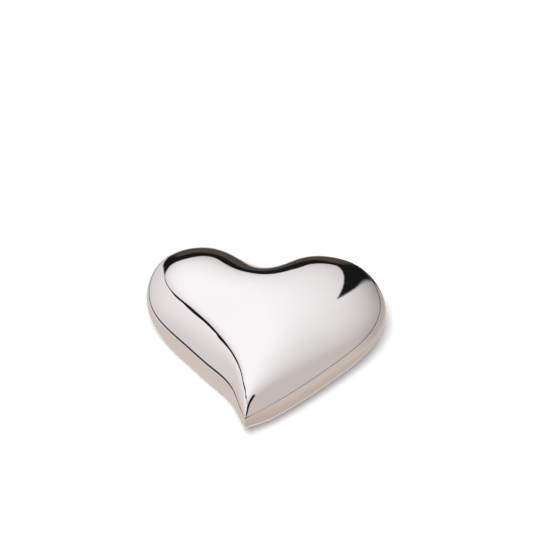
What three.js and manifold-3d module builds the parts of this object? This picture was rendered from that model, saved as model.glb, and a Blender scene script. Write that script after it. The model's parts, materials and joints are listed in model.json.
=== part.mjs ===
// Heart-shaped trinket box: a polished metal heart that parts along a seam a little above its widest level.
// The lid swings on two small hinges let into the rim behind the two lobes. Millimetres, +Z up, the felt foot
// stands on z = 0, +Y is the cleft side and the point of the heart is towards -Y.
import * as THREE from "three";
import { mergeVertices } from "three/addons/utils/BufferGeometryUtils.js";
import Module from "manifold-3d";

const wasm = await Module();
wasm.setup();

// ---------------------------------------------------------------- driving dimensions
// Plan outline at the widest level: a smooth curve through these points, from the point of the heart anticlockwise.
const OUTLINE = [
  [-1.66, -33.6], [8.51, -25.55], [18.76, -16.05], [27.74, -6.71], [35.21, 3.16], [38.05, 13.64], [35.61, 23.13],
  [29.35, 30.92], [20.46, 34.25], [10.98, 32.98], [2.37, 27.9], [-6.57, 28.7], [-16.67, 33.8], [-27.16, 33.53],
  [-35.19, 27.43], [-38.09, 16.59], [-35.2, 5.52], [-23.58, -6.71], [-15.08, -14.31], [-8.25, -20.46], [-4.85, -26.5],
];
const CENTRE = [-3.31, 1.95]; // the crown of the lid, which every level shrinks towards
const ROUNDING = 2.97; // how fast the levels lose the point and the cleft as they shrink
const CROWN = 13.63; // height of the upper side above the widest level
const CROWN_SHAPE = [-0.1037, -0.0788, -0.0658, 0.1656, 0.1426, -0.0548]; // x, y, xx, xy, yy and rim terms of its height
const BELLY = 17.96; // depth of the lower side below the widest level, before the flat foot cuts it
const BELLY_POWER = 1.908;
const Z_WIDE = 10.0; // widest level above the table
const SEAM = 3.13; // seam above the widest level
const SEAM_GAP = 0.3;
const TIP_TUCK = { at: 0.028, grow: 0.0025, reach: 7.2 }; // how far the base pulls in under the point: at the widest level, and more per mm below it
const WALL = 1.5;
const FOOT_LEVEL = 0.8; // underside of the base shell above the table
const FELT = { level: 0.755, recess: 0.78, top: 1.4, recessTop: 1.7 };
const FLOOR_IN = 3.3; // inside floor of the base shell above the table
// The knuckles sit in notches behind the lobes, their backs flush with the wall, the axis a little under the seam.
const HINGE = { x: [-20.88, 17.12], y: 32.3, low: 0.75, r: 0.92, bore: 0.64, pin: 0.36, head: 0.66, width: 8.4, mid: 3.2, gap: 0.3, leaf: 0.5 };
const RIVET = { head: 1.15, headH: 0.45, shank: 0.5, hole: 0.8, deep: 0.85, spread: 2.6, low: 3.5, high: 2.5 };
const MAGNET = { at: [1.3, -22.6], r: 2.3, cup: 3.1, pocket: 2.6 };
const LEAF = { down: 5.4, up: 4.2 }; // how far the leaves reach below and above the hinge axis
const COLUMNS = 72;
const SAMPLES = 288;

// ---------------------------------------------------------------- the heart's surface
// Cubic spline through points at parameters d, with not-a-knot ends, as slopes at the points.
function splineSlopes(d, v) {
  const n = d.length;
  const h = d.slice(1).map((x, i) => x - d[i]);
  const g = h.map((x, i) => (v[i + 1] - v[i]) / x);
  const A = Array.from({ length: n }, () => new Array(n + 1).fill(0));
  A[0][0] = h[1];
  A[0][1] = d[2] - d[0];
  A[0][n] = ((h[0] + 2 * (d[2] - d[0])) * h[1] * g[0] + h[0] * h[0] * g[1]) / (d[2] - d[0]);
  for (let i = 1; i < n - 1; i++) {
    A[i][i - 1] = h[i];
    A[i][i] = 2 * (h[i - 1] + h[i]);
    A[i][i + 1] = h[i - 1];
    A[i][n] = 3 * (h[i] * g[i - 1] + h[i - 1] * g[i]);
  }
  const e = d[n - 1] - d[n - 3];
  A[n - 1][n - 2] = e;
  A[n - 1][n - 1] = h[n - 3];
  A[n - 1][n] = (h[n - 2] * h[n - 2] * g[n - 3] + (2 * e + h[n - 2]) * h[n - 3] * g[n - 2]) / e;
  for (let i = 0; i < n; i++) {
    let p = i;
    for (let r = i + 1; r < n; r++) if (Math.abs(A[r][i]) > Math.abs(A[p][i])) p = r;
    [A[i], A[p]] = [A[p], A[i]];
    for (let r = i + 1; r < n; r++) {
      const f = A[r][i] / A[i][i];
      if (f) for (let c = i; c <= n; c++) A[r][c] -= f * A[i][c];
    }
  }
  const s = new Array(n).fill(0);
  for (let i = n - 1; i >= 0; i--) {
    let t = A[i][n];
    for (let c = i + 1; c < n; c++) t -= A[i][c] * s[c];
    s[i] = t / A[i][i];
  }
  return s;
}

// The outline at evenly spaced distances along it, starting at the point of the heart.
function sampleOutline(points, count) {
  const P = [...points, points[0]];
  const d = [0];
  for (let i = 1; i < P.length; i++) d.push(d[i - 1] + Math.hypot(P[i][0] - P[i - 1][0], P[i][1] - P[i - 1][1]) ** 0.75);
  const X = P.map((p) => p[0]);
  const Y = P.map((p) => p[1]);
  const SX = splineSlopes(d, X);
  const SY = splineSlopes(d, Y);
  const at = (V, S, u) => {
    let i = 0;
    while (i < d.length - 2 && u > d[i + 1]) i++;
    const h = d[i + 1] - d[i];
    const t = (u - d[i]) / h;
    const a = (1 + 2 * t) * (1 - t) * (1 - t);
    const b = t * (1 - t) * (1 - t);
    const c = t * t * (3 - 2 * t);
    const e = t * t * (t - 1);
    return a * V[i] + b * h * S[i] + c * V[i + 1] + e * h * S[i + 1];
  };
  const m = count * 8;
  const total = d[d.length - 1];
  const fine = [];
  for (let i = 0; i <= m; i++) fine.push([at(X, SX, (total * i) / m), at(Y, SY, (total * i) / m)]);
  const L = [0];
  for (let i = 1; i <= m; i++) L.push(L[i - 1] + Math.hypot(fine[i][0] - fine[i - 1][0], fine[i][1] - fine[i - 1][1]));
  const out = [];
  let k = 0;
  for (let i = 0; i < count; i++) {
    const want = (L[m] * i) / count;
    while (L[k + 1] < want) k++;
    const u = (total * (k + (want - L[k]) / (L[k + 1] - L[k]))) / m;
    out.push([at(X, SX, u), at(Y, SY, u)]);
  }
  return { points: out, length: L[m] };
}

const outline = sampleOutline(OUTLINE, SAMPLES);
const [MX, MY] = CENTRE;

// Fourier coefficients of the outline about the centre.
const HARMONICS = [];
for (let k = -SAMPLES / 2 + 1; k <= SAMPLES / 2; k++) {
  let re = 0;
  let im = 0;
  outline.points.forEach(([x, y], j) => {
    const a = (-2 * Math.PI * k * j) / SAMPLES;
    re += (x - MX) * Math.cos(a) - (y - MY) * Math.sin(a);
    im += (x - MX) * Math.sin(a) + (y - MY) * Math.cos(a);
  });
  HARMONICS.push([k, re / SAMPLES, im / SAMPLES]);
}

// Plan position of sample j at level s: s = 1 is the outline, s = 0 the centre, and the levels round off on the way.
function level(j, s) {
  if (s < 1e-6) return [MX, MY];
  const h = -Math.log(s) - (1 - s);
  let x = 0;
  let y = 0;
  for (const [k, re, im] of HARMONICS) {
    const w = k === 0 ? s : Math.exp(-ROUNDING * Math.max(Math.abs(k) - 1, 0) * h);
    if (w < 1e-9) continue;
    const a = (2 * Math.PI * k * j) / SAMPLES;
    const c = Math.cos(a);
    const q = Math.sin(a);
    x += w * (re * c - im * q);
    y += w * (re * q + im * c);
  }
  return [MX + s * x, MY + s * y];
}

// Height of the upper side above the widest level, for a crown of the given height.
function crown(x, y, s, height) {
  const X = (x - MX) / 35;
  const Y = (y - MY) / 35;
  const [a, b, c, d, e, f] = CROWN_SHAPE;
  return height * Math.sqrt(Math.max(0, 1 - s * s)) * (1 + a * X + b * Y + c * X * X + d * X * Y + e * Y * Y + f * s * s);
}
const belly = (s, depth) => -depth * Math.sqrt(Math.max(0, 1 - s ** BELLY_POWER));
const bellyLevel = (z, depth) => (1 - (z / depth) ** 2) ** (1 / BELLY_POWER);

// How far the edge moves inwards for each unit of level, per sample, and how near the sample is to the point.
const SPAN = outline.points.map((p, j) => {
  const a = outline.points[(j + 1) % SAMPLES];
  const b = outline.points[(j + SAMPLES - 1) % SAMPLES];
  const tx = a[0] - b[0];
  const ty = a[1] - b[1];
  const l = Math.hypot(tx, ty);
  return Math.max(12, ((p[0] - MX) * ty - (p[1] - MY) * tx) / l);
});
for (let pass = 0; pass < 24; pass++) {
  const old = [...SPAN];
  old.forEach((v, j) => (SPAN[j] = (old[(j + 1) % SAMPLES] + 2 * v + old[(j + SAMPLES - 1) % SAMPLES]) / 4));
}
const nearTip = (j, reach) => {
  const d = (Math.min(j, SAMPLES - j) * outline.length) / SAMPLES;
  return Math.exp(-((d / reach) ** 2));
};

const STEP = SAMPLES / COLUMNS;
const columns = Array.from({ length: COLUMNS }, (_, i) => i * STEP);

// A point of the upper side: shape level s, wall inset t inwards.
function upperPoint(j, s, t) {
  const k = 1 - t / SPAN[j];
  const [x, y] = level(j, s * k);
  return [x, y, crown(x, y, s, CROWN - t)];
}
// Shape level at which the upper side, inset by t, reaches height z.
function upperLevel(j, z, t) {
  let lo = 0.2;
  let hi = 1;
  for (let i = 0; i < 30; i++) {
    const mid = (lo + hi) / 2;
    if (upperPoint(j, mid, t)[2] > z) lo = mid;
    else hi = mid;
  }
  return (lo + hi) / 2;
}
// A point of the base: above the widest level it follows the upper side, below it the belly, tucked in at the point.
function tuck(j, z) {
  const f = z > 0 ? TIP_TUCK.at * Math.max(0, 1 - z / SEAM) : TIP_TUCK.at - TIP_TUCK.grow * z;
  return 1 - nearTip(j, TIP_TUCK.reach) * f;
}
function basePoint(j, s, t, height) {
  const z = height === undefined ? belly(s, BELLY - t) : height;
  const [x, y] = level(j, s * tuck(j, z) * (1 - t / SPAN[j]));
  return [x, y, z];
}
const lift = (ring) => ring.map(([x, y, z]) => [x, y, z + Z_WIDE]);

// Plan position on the inside wall at height z over the widest level, moved a further g inwards.
function innerWall(j, z, g) {
  let s;
  if (z >= 0) s = upperLevel(j, z, WALL);
  else s = bellyLevel(z, BELLY - WALL);
  const [x, y] = level(j, s * tuck(j, z) * (1 - WALL / SPAN[j]) - g / SPAN[j]);
  return [x, y];
}

// ---------------------------------------------------------------- solids
const flipIfInside = (pos, idx) => {
  let v = 0;
  for (let i = 0; i < idx.length; i += 3) {
    const [a, b, c] = [pos[idx[i]], pos[idx[i + 1]], pos[idx[i + 2]]];
    v +=
      a[0] * (b[1] * c[2] - b[2] * c[1]) - a[1] * (b[0] * c[2] - b[2] * c[0]) + a[2] * (b[0] * c[1] - b[1] * c[0]);
  }
  if (v < 0) for (let i = 0; i < idx.length; i += 3) [idx[i + 1], idx[i + 2]] = [idx[i + 2], idx[i + 1]];
  return idx;
};
function geometry(pos, idx) {
  const g = new THREE.BufferGeometry();
  g.setAttribute("position", new THREE.BufferAttribute(new Float32Array(pos.flat()), 3));
  g.setIndex(flipIfInside(pos, idx));
  return g;
}
// A closed body through a list of rings. A single point closes an end.
function throughRings(rings) {
  const pos = [];
  const start = rings.map((r) => {
    const at = pos.length;
    pos.push(...r);
    return at;
  });
  const idx = [];
  for (let i = 0; i + 1 < rings.length; i++) {
    const A = rings[i];
    const B = rings[i + 1];
    const a = start[i];
    const b = start[i + 1];
    const n = Math.max(A.length, B.length);
    for (let j = 0; j < n; j++) {
      const k = (j + 1) % n;
      if (A.length === 1) idx.push(a, b + j, b + k);
      else if (B.length === 1) idx.push(a + j, b, a + k);
      else idx.push(a + j, b + j, b + k, a + j, b + k, a + k);
    }
  }
  return geometry(pos, idx);
}
function solid(g) {
  const bare = g.index ? g.toNonIndexed() : g.clone();
  bare.deleteAttribute("normal");
  bare.deleteAttribute("uv");
  const m = mergeVertices(bare, 1e-4);
  return new wasm.Manifold(
    new wasm.Mesh({ numProp: 3, vertProperties: m.attributes.position.array, triVerts: new Uint32Array(m.index.array) }),
  );
}
function fromSolid(s) {
  const m = s.getMesh();
  const pos = [];
  for (let i = 0; i < m.vertProperties.length; i += m.numProp)
    pos.push(m.vertProperties[i], m.vertProperties[i + 1], m.vertProperties[i + 2]);
  const g = new THREE.BufferGeometry();
  g.setAttribute("position", new THREE.BufferAttribute(new Float32Array(pos), 3));
  g.setIndex(Array.from(m.triVerts));
  return g;
}
const place = (g, x, y, z, rx = 0, ry = 0, rz = 0) =>
  g.applyMatrix4(
    new THREE.Matrix4().compose(
      new THREE.Vector3(x, y, z),
      new THREE.Quaternion().setFromEuler(new THREE.Euler(rx, ry, rz)),
      new THREE.Vector3(1, 1, 1),
    ),
  );
const box = (x0, x1, y0, y1, z0, z1) =>
  place(new THREE.BoxGeometry(x1 - x0, y1 - y0, z1 - z0), (x0 + x1) / 2, (y0 + y1) / 2, (z0 + z1) / 2);
// A turned piece: profile of [radius, height] pairs closed on the axis, standing along +Z.
const turned = (profile, sides = 16) =>
  new THREE.LatheGeometry(profile.map(([r, h]) => new THREE.Vector2(r, h)), sides).applyMatrix4(
    new THREE.Matrix4().makeRotationX(Math.PI / 2),
  );

const material = (color, roughness, metalness) => new THREE.MeshStandardMaterial({ color, roughness, metalness });
const SILVER = material(0xe9e6e4, 0.06, 1);
const STEEL = material(0xb9b6b2, 0.3, 1);
const NICKEL = material(0xd9d5cf, 0.18, 1);
const MAGNET_GREY = material(0x8d8d90, 0.35, 1);
const VELVET = material(0x4a1524, 0.95, 0);
const VELVET_TRAY = material(0x3d111d, 0.95, 0);
const SATIN = material(0x6a2233, 0.55, 0);
const FELT_BLACK = material(0x1c1b1d, 1, 0);

const heart = new THREE.Group();
heart.position.y = -0.75; // brings the middle of the whole box over the origin
const base = new THREE.Group();
const lid = new THREE.Group();
heart.add(base, lid);
function add(group, name, g, mat) {
  const mesh = new THREE.Mesh(g, mat);
  mesh.name = name;
  group.add(mesh);
  return mesh;
}

// ---------------------------------------------------------------- hinge lines and shared cutters
const HV = SEAM - HINGE.low; // hinge axis over the widest level
const HZ = Z_WIDE + HV;
// The inside wall behind each lobe, as a distance from the hinge axis towards the inside of the box.
function wallBehind(hx, z) {
  let far = 0;
  for (const j of Array.from({ length: SAMPLES }, (_, i) => i)) {
    const [ox, oy] = outline.points[j];
    if (oy < 8 || Math.abs(ox - hx) > 18) continue;
    const [x, y] = innerWall(j, z, 0);
    if (Math.abs(x - hx) < HINGE.width / 2 + 0.9) far = Math.max(far, HINGE.y - y);
  }
  return far;
}
const NOTCH_EAST = 0.7; // the wall falls away on that side, and the open lid needs the room
const notches = (side) => {
  let s = null;
  for (const hx of HINGE.x) {
    const w = HINGE.width / 2 + 1.0;
    const deep = HINGE.r + 0.35;
    const b =
      side === "base"
        ? box(hx - w, hx + w + NOTCH_EAST, HINGE.y - 8, HINGE.y + 4, HZ - deep, HZ + 4)
        : box(hx - w, hx + w + NOTCH_EAST, HINGE.y - 8, HINGE.y + 4, HZ - 4, HZ + deep);
    s = s ? s.add(solid(b)) : solid(b);
  }
  return s;
};

// Leaves: strips from the barrel through the notch, then along the inside of the wall.
const TILT = Math.PI / 180;
const leafData = HINGE.x.map((hx) => {
  const down = Math.max(...[0.4, 0, -2.5, -LEAF.down].map((v) => wallBehind(hx, HV + v))) + 0.35;
  const v0 = HINGE.gap / 2 + HINGE.leaf; // where the lid leaf turns up along the wall
  const u0 = wallBehind(hx, HV + v0) + 0.5;
  const u1 = wallBehind(hx, HV + LEAF.up) + 0.7;
  return { hx, down, u0, u1, v0, angle: Math.atan2(u1 - u0, LEAF.up - v0) };
});
// Profile in (u, v): u inwards from the axis, v up. Extruded along X over the leaf's width.
function strip(points, hx, w) {
  const shape = new THREE.Shape(points.map(([u, v]) => new THREE.Vector2(u, v)));
  const g = new THREE.ExtrudeGeometry(shape, { depth: w, bevelEnabled: false });
  // shape x = u, shape y = v, extrusion z = along X
  const m = new THREE.Matrix4().makeBasis(new THREE.Vector3(0, -1, 0), new THREE.Vector3(0, 0, 1), new THREE.Vector3(-1, 0, 0));
  return g.applyMatrix4(new THREE.Matrix4().makeTranslation(hx + w / 2, HINGE.y, HZ).multiply(m));
}
const along = (g, hx, y, z) => place(g, hx, y, z, 0, Math.PI / 2, 0); // a turned piece laid along X
const cyl = (r, len, sides = 20) => new THREE.CylinderGeometry(r, r, len, sides).applyMatrix4(new THREE.Matrix4().makeRotationZ(Math.PI / 2));

// Rivets: head on the leaf's inner face, shank through the leaf into a blind hole in the wall.
const rivetProfile = (grip) => [
  [0, -RIVET.deep + 0.3 - grip],
  [RIVET.shank, -RIVET.deep + 0.3 - grip],
  [RIVET.shank, 0.15],
  [RIVET.head, 0.15],
  [RIVET.head * 0.95, 0.15 + RIVET.headH * 0.5],
  [RIVET.head * 0.62, 0.15 + RIVET.headH * 0.88],
  [0, 0.15 + RIVET.headH],
];
const rivets = { base: [], lid: [] };
const holes = { base: [], lid: [], baseLeaf: [[], []], lidLeaf: [[], []] };
leafData.forEach(({ hx, down, u0, v0, angle }, side) => {
  for (const dx of [-RIVET.spread, RIVET.spread]) {
    // base: plate upright at u = down .. down + leaf, rivet looks inwards (-Y)
    const yFace = HINGE.y - down - HINGE.leaf;
    const zc = HZ - RIVET.low;
    const grip = HINGE.leaf + 0.3 + 0.35;
    rivets.base.push({ g: () => place(turned(rivetProfile(grip), 14), hx + dx, yFace, zc, Math.PI / 2, 0, 0), side });
    const hole = () => place(new THREE.CylinderGeometry(RIVET.hole, RIVET.hole, 6, 16), hx + dx, 0, zc);
    holes.baseLeaf[side].push(hole().translate(0, yFace + 1, 0));
    holes.base.push(
      place(new THREE.CylinderGeometry(RIVET.hole, RIVET.hole, grip + RIVET.deep + 2, 16), hx + dx, yFace - 2 + (grip + RIVET.deep + 2) / 2, zc),
    );
    // lid: plate leans inwards with the wall
    const mid = RIVET.high;
    const uc = u0 + (mid - v0) * Math.tan(angle);
    const nu = Math.cos(angle);
    const nv = -Math.sin(angle);
    const fu = uc + nu * HINGE.leaf;
    const fv = mid + nv * HINGE.leaf;
    const rot = Math.PI / 2 + angle; // turns +Z to (-Y, -Z) as the leaf's inner normal
    const y = HINGE.y - fu;
    const z = HZ + fv;
    rivets.lid.push({ g: () => place(turned(rivetProfile(grip), 14), hx + dx, y, z, rot, 0, 0), side });
    const len = grip + RIVET.deep + 2;
    const c = len / 2 - 2;
    const g1 = new THREE.CylinderGeometry(RIVET.hole, RIVET.hole, len, 16).applyMatrix4(new THREE.Matrix4().makeRotationX(Math.PI / 2));
    holes.lid.push(place(g1.clone(), hx + dx, y + nu * c, z - nv * c, rot, 0, 0));
    holes.lidLeaf[side].push(place(g1.clone(), hx + dx, y + nu * c, z - nv * c, rot, 0, 0));
  }
});

// ---------------------------------------------------------------- base shell
{
  const foot = bellyLevel(-(Z_WIDE - FOOT_LEVEL), BELLY);
  const innerFloor = bellyLevel(-(Z_WIDE - FLOOR_IN), BELLY - WALL);
  const flat = (s, z) => columns.map((j) => [...level(j, s * tuck(j, z - Z_WIDE)), z]);
  const out = [0.18, 0.38, 0.58, 0.76, 0.9, 0.975].map((f) => foot + (1 - foot) * f);
  const ring = (s, t) => lift(columns.map((j) => basePoint(j, s, t)));
  const upper = (z, t) =>
    lift(columns.map((j) => basePoint(j, z <= 0 ? 1 : upperLevel(j, z, t), t, z)));
  const rings = [
    [[MX, MY, FELT.recessTop]],
    flat(0.3, FELT.recessTop),
    flat(0.56, FELT.recessTop),
    flat(FELT.recess, FELT.recessTop),
    flat(FELT.recess, FOOT_LEVEL),
    ring(foot, 0),
    ...out.map((s) => ring(s, 0)),
    upper(0, 0),
    upper(SEAM * 0.5, 0),
    upper(SEAM - SEAM_GAP / 2, 0),
    upper(SEAM - SEAM_GAP / 2, WALL),
    upper(SEAM * 0.4, WALL),
    upper(0, WALL),
    ...[0.985, 0.965, 0.94].map((s) => ring(s, WALL)),
    ring(innerFloor, WALL),
    flat(0.6, FLOOR_IN),
    flat(0.3, FLOOR_IN),
    [[MX, MY, FLOOR_IN]],
  ];
  let s = solid(throughRings(rings)).subtract(notches("base"));
  for (const h of holes.base) s = s.subtract(solid(h));
  add(base, "base_shell", fromSolid(s), SILVER);
}

// ---------------------------------------------------------------- lid shell
{
  const z0 = SEAM + SEAM_GAP / 2;
  const ring = (w, t) =>
    lift(
      columns.map((j) => {
        const s0 = upperLevel(j, z0, t);
        const p = upperPoint(j, s0 * Math.sin((w * Math.PI) / 180), t);
        return w === 90 ? [p[0], p[1], z0] : p;
      }),
    );
  const top = crown(MX, MY, 0, CROWN) + Z_WIDE;
  const inside = crown(MX, MY, 0, CROWN - WALL) + Z_WIDE;
  const rings = [
    [[MX, MY, top]],
    ...[11, 22, 33, 44, 55, 65, 74, 82, 90].map((w) => ring(w, 0)),
    ...[90, 80, 69, 57, 44, 30, 15].map((w) => ring(w, WALL)),
    [[MX, MY, inside]],
  ];
  let s = solid(throughRings(rings)).subtract(notches("lid"));
  for (const h of holes.lid) s = s.subtract(solid(h));
  add(lid, "lid_shell", fromSolid(s), SILVER);
}

// ---------------------------------------------------------------- locating collar
// A thin band inside the base rim, standing above the seam, from one hinge round the point to the other.
{
  const keep = columns.filter((j) => {
    const [x, y] = outline.points[j];
    return !(y > 20 && x > HINGE.x[0] - 7.0 && x < HINGE.x[1] + 7.0);
  });
  // in order from the left hinge round the point to the right hinge
  const start = keep.findIndex((j, i) => i > 0 && j - keep[i - 1] > STEP);
  const order = start < 0 ? keep : [...keep.slice(start), ...keep.slice(0, start)];
  const levels = [
    [SEAM - 2.4, SEAM - 2.4],
    [SEAM - 0.15, SEAM - 0.15],
    [SEAM + 1.15, SEAM + 1.15],
  ];
  const section = (j) => [
    ...levels.map(([z]) => [...innerWall(j, z, 0.45), z + Z_WIDE]),
    ...[...levels].reverse().map(([z]) => [...innerWall(j, z, 1.1), z + Z_WIDE]),
  ];
  const S = order.map(section);
  const pos = S.flat();
  const n = S[0].length;
  const idx = [];
  for (let i = 0; i + 1 < S.length; i++)
    for (let k = 0; k < n; k++) {
      const l = (k + 1) % n;
      idx.push(i * n + k, (i + 1) * n + k, (i + 1) * n + l, i * n + k, (i + 1) * n + l, i * n + l);
    }
  const cap = (o, flip) => {
    for (const [a, b, c] of [[0, 1, 4], [0, 4, 5], [1, 2, 3], [1, 3, 4]]) idx.push(...(flip ? [o + a, o + c, o + b] : [o + a, o + b, o + c]));
  };
  cap(0, false);
  cap((S.length - 1) * n, true);
  add(base, "locating_collar", geometry(pos, idx), NICKEL);
}

// ---------------------------------------------------------------- flocked tray and its cushion
// Sizes over the widest level: flange just under the seam, a pocket with a flat bottom.
const TRAY = { top: SEAM - 0.65, thick: 0.8, floor: -6.2, skin: 0.9 };
const pullBack = (j) => 0.23 * nearTip(j, 14); // the pocket stops short of the point, where the magnet is
function trayLevel(j, f) {
  // f = 0 at the flange, 1 at the floor's edge
  return 0.8 - pullBack(j) - 0.11 * f ** 2.6;
}
{
  const at = (s, z) => (j) => [...level(j, s(j)), z + Z_WIDE];
  const edge = (z) => columns.map((j) => [...innerWall(j, z, 1.6), z + Z_WIDE]);
  const wallRing = (f, skin) =>
    columns.map((j) => {
      const z0 = TRAY.top - (skin ? TRAY.thick : 0);
      const z1 = TRAY.floor + (skin ? 0 : TRAY.skin);
      const z = z0 + (z1 - z0) * f;
      return [...level(j, trayLevel(j, f) + (skin ? TRAY.skin / SPAN[j] : 0)), z + Z_WIDE];
    });
  const flat = (k, z) => columns.map(at((j) => trayLevel(j, 1) * k, z));
  const rings = [
    [[MX, MY, TRAY.floor + Z_WIDE]],
    flat(0.5, TRAY.floor),
    wallRing(0.995, true).map(([x, y]) => [x, y, TRAY.floor + Z_WIDE]),
    wallRing(0.85, true),
    wallRing(0.62, true),
    wallRing(0.35, true),
    wallRing(0, true),
    edge(TRAY.top - TRAY.thick),
    edge(TRAY.top),
    wallRing(0, false),
    wallRing(0.35, false),
    wallRing(0.62, false),
    wallRing(0.85, false),
    wallRing(1, false),
    flat(0.5, TRAY.floor + TRAY.skin),
    [[MX, MY, TRAY.floor + TRAY.skin + Z_WIDE]],
  ];
  let s = solid(throughRings(rings));
  // room for the hinge leaves behind the lobes
  for (const { hx, down } of leafData)
    s = s.subtract(solid(box(hx - HINGE.width / 2 - 0.5, hx + HINGE.width / 2 + 0.5, HINGE.y - down - HINGE.leaf - 0.4, HINGE.y + 5, Z_WIDE - 5, Z_WIDE + 8)));
  add(base, "base_tray", fromSolid(s), VELVET_TRAY);
}
{
  // velvet cushion in the pocket, crowned on top
  const z0 = TRAY.floor + TRAY.skin + 0.35;
  const ring = (k, z) => columns.map((j) => [...level(j, (trayLevel(j, 1) - 0.9 / SPAN[j]) * k), z + Z_WIDE]);
  const rings = [
    [[MX, MY, z0 + Z_WIDE]],
    ring(0.5, z0),
    ring(0.93, z0),
    ring(1, z0 + 0.7),
    ring(0.975, z0 + 1.8),
    ring(0.88, z0 + 2.8),
    ring(0.66, z0 + 3.5),
    ring(0.36, z0 + 3.9),
    [[MX, MY, z0 + 4.05 + Z_WIDE]],
  ];
  add(base, "base_cushion", throughRings(rings), VELVET);
}

// ---------------------------------------------------------------- lid lining
{
  const z0 = SEAM + 0.55;
  const t = WALL + 0.8; // clearance under the shell
  const skin = 0.9;
  const zf = SEAM + 1.35; // top of the flange
  const start = (j, extra) => upperLevel(j, zf + 0.6, t + extra);
  const ring = (w, extra) =>
    lift(
      columns.map((j) => {
        const s0 = start(j, extra) - (extra ? 0 : 0) - 2.2 / SPAN[j] - 0.19 * nearTip(j, 13);
        return upperPoint(j, s0 * Math.sin((w * Math.PI) / 180), t + extra);
      }),
    );
  const edge = (z) => columns.map((j) => [...innerWall(j, SEAM + 1.35, 1.65), z + Z_WIDE]);
  const lip = (extra, z) =>
    columns.map((j) => {
      const s0 = start(j, extra) - 2.2 / SPAN[j] - 0.19 * nearTip(j, 13);
      const p = upperPoint(j, s0, t + extra);
      return [p[0], p[1], z + Z_WIDE];
    });
  const pole = (extra) => [[MX, MY, crown(MX, MY, 0, CROWN - t - extra) + Z_WIDE]];
  const rings = [
    pole(0),
    ...[15, 30, 45, 60, 75, 90].map((w) => ring(w, 0)),
    lip(0, zf).map((p, i) => [p[0], p[1], zf + Z_WIDE]),
    edge(zf),
    edge(z0),
    lip(skin, z0),
    ...[90, 75, 60, 45, 30, 15].map((w) => ring(w, skin)),
    pole(skin),
  ];
  let s = solid(throughRings(rings));
  for (const { hx, u0, u1, v0, angle } of leafData) {
    // room for the lid leaf: a slab that leans with it
    const f = (LEAF.up + 0.5 - v0) * Math.tan(angle);
    const g = 1.35 / Math.cos(angle) + 0.5;
    s = s.subtract(solid(strip([[-6, -2], [u0 + g, -2], [u0 + g, v0], [u0 + g + f, LEAF.up + 0.5], [-6, LEAF.up + 0.5]], hx, HINGE.width + 1.2)));
  }
  add(lid, "lid_liner", fromSolid(s), SATIN);
  // satin pad inside the liner
  const padRing = (w, drop) =>
    lift(
      columns.map((j) => {
        const s0 = (start(j, skin) - 2.2 / SPAN[j] - 0.19 * nearTip(j, 13)) * 0.8;
        const p = upperPoint(j, s0 * Math.sin((w * Math.PI) / 180), t + skin + 0.35);
        return [p[0], p[1], p[2] - drop];
      }),
    );
  const top = crown(MX, MY, 0, CROWN - t - skin - 0.35) + Z_WIDE;
  const pad = [
    [[MX, MY, top]],
    ...[22, 44, 66].map((w) => padRing(w, 0)),
    padRing(84, 0.2),
    padRing(90, 0.7),
    padRing(84, 1.4),
    padRing(66, 2.4),
    padRing(44, 3.0),
    padRing(22, 3.3),
    [[MX, MY, top - 3.4]],
  ];
  add(lid, "lid_pad", throughRings(pad), SATIN);
}

// ---------------------------------------------------------------- felt foot
{
  const ring = (s, z) => columns.filter((_, i) => i % 2 === 0).map((j) => [...level(j, s * tuck(j, FOOT_LEVEL - Z_WIDE)), z]);
  add(
    base,
    "felt_pad",
    throughRings([[[MX, MY, 0]], ring(0.25, 0), ring(FELT.level, 0), ring(FELT.level, FELT.top), ring(0.25, FELT.top), [[MX, MY, FELT.top]]]),
    FELT_BLACK,
  );
}

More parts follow.
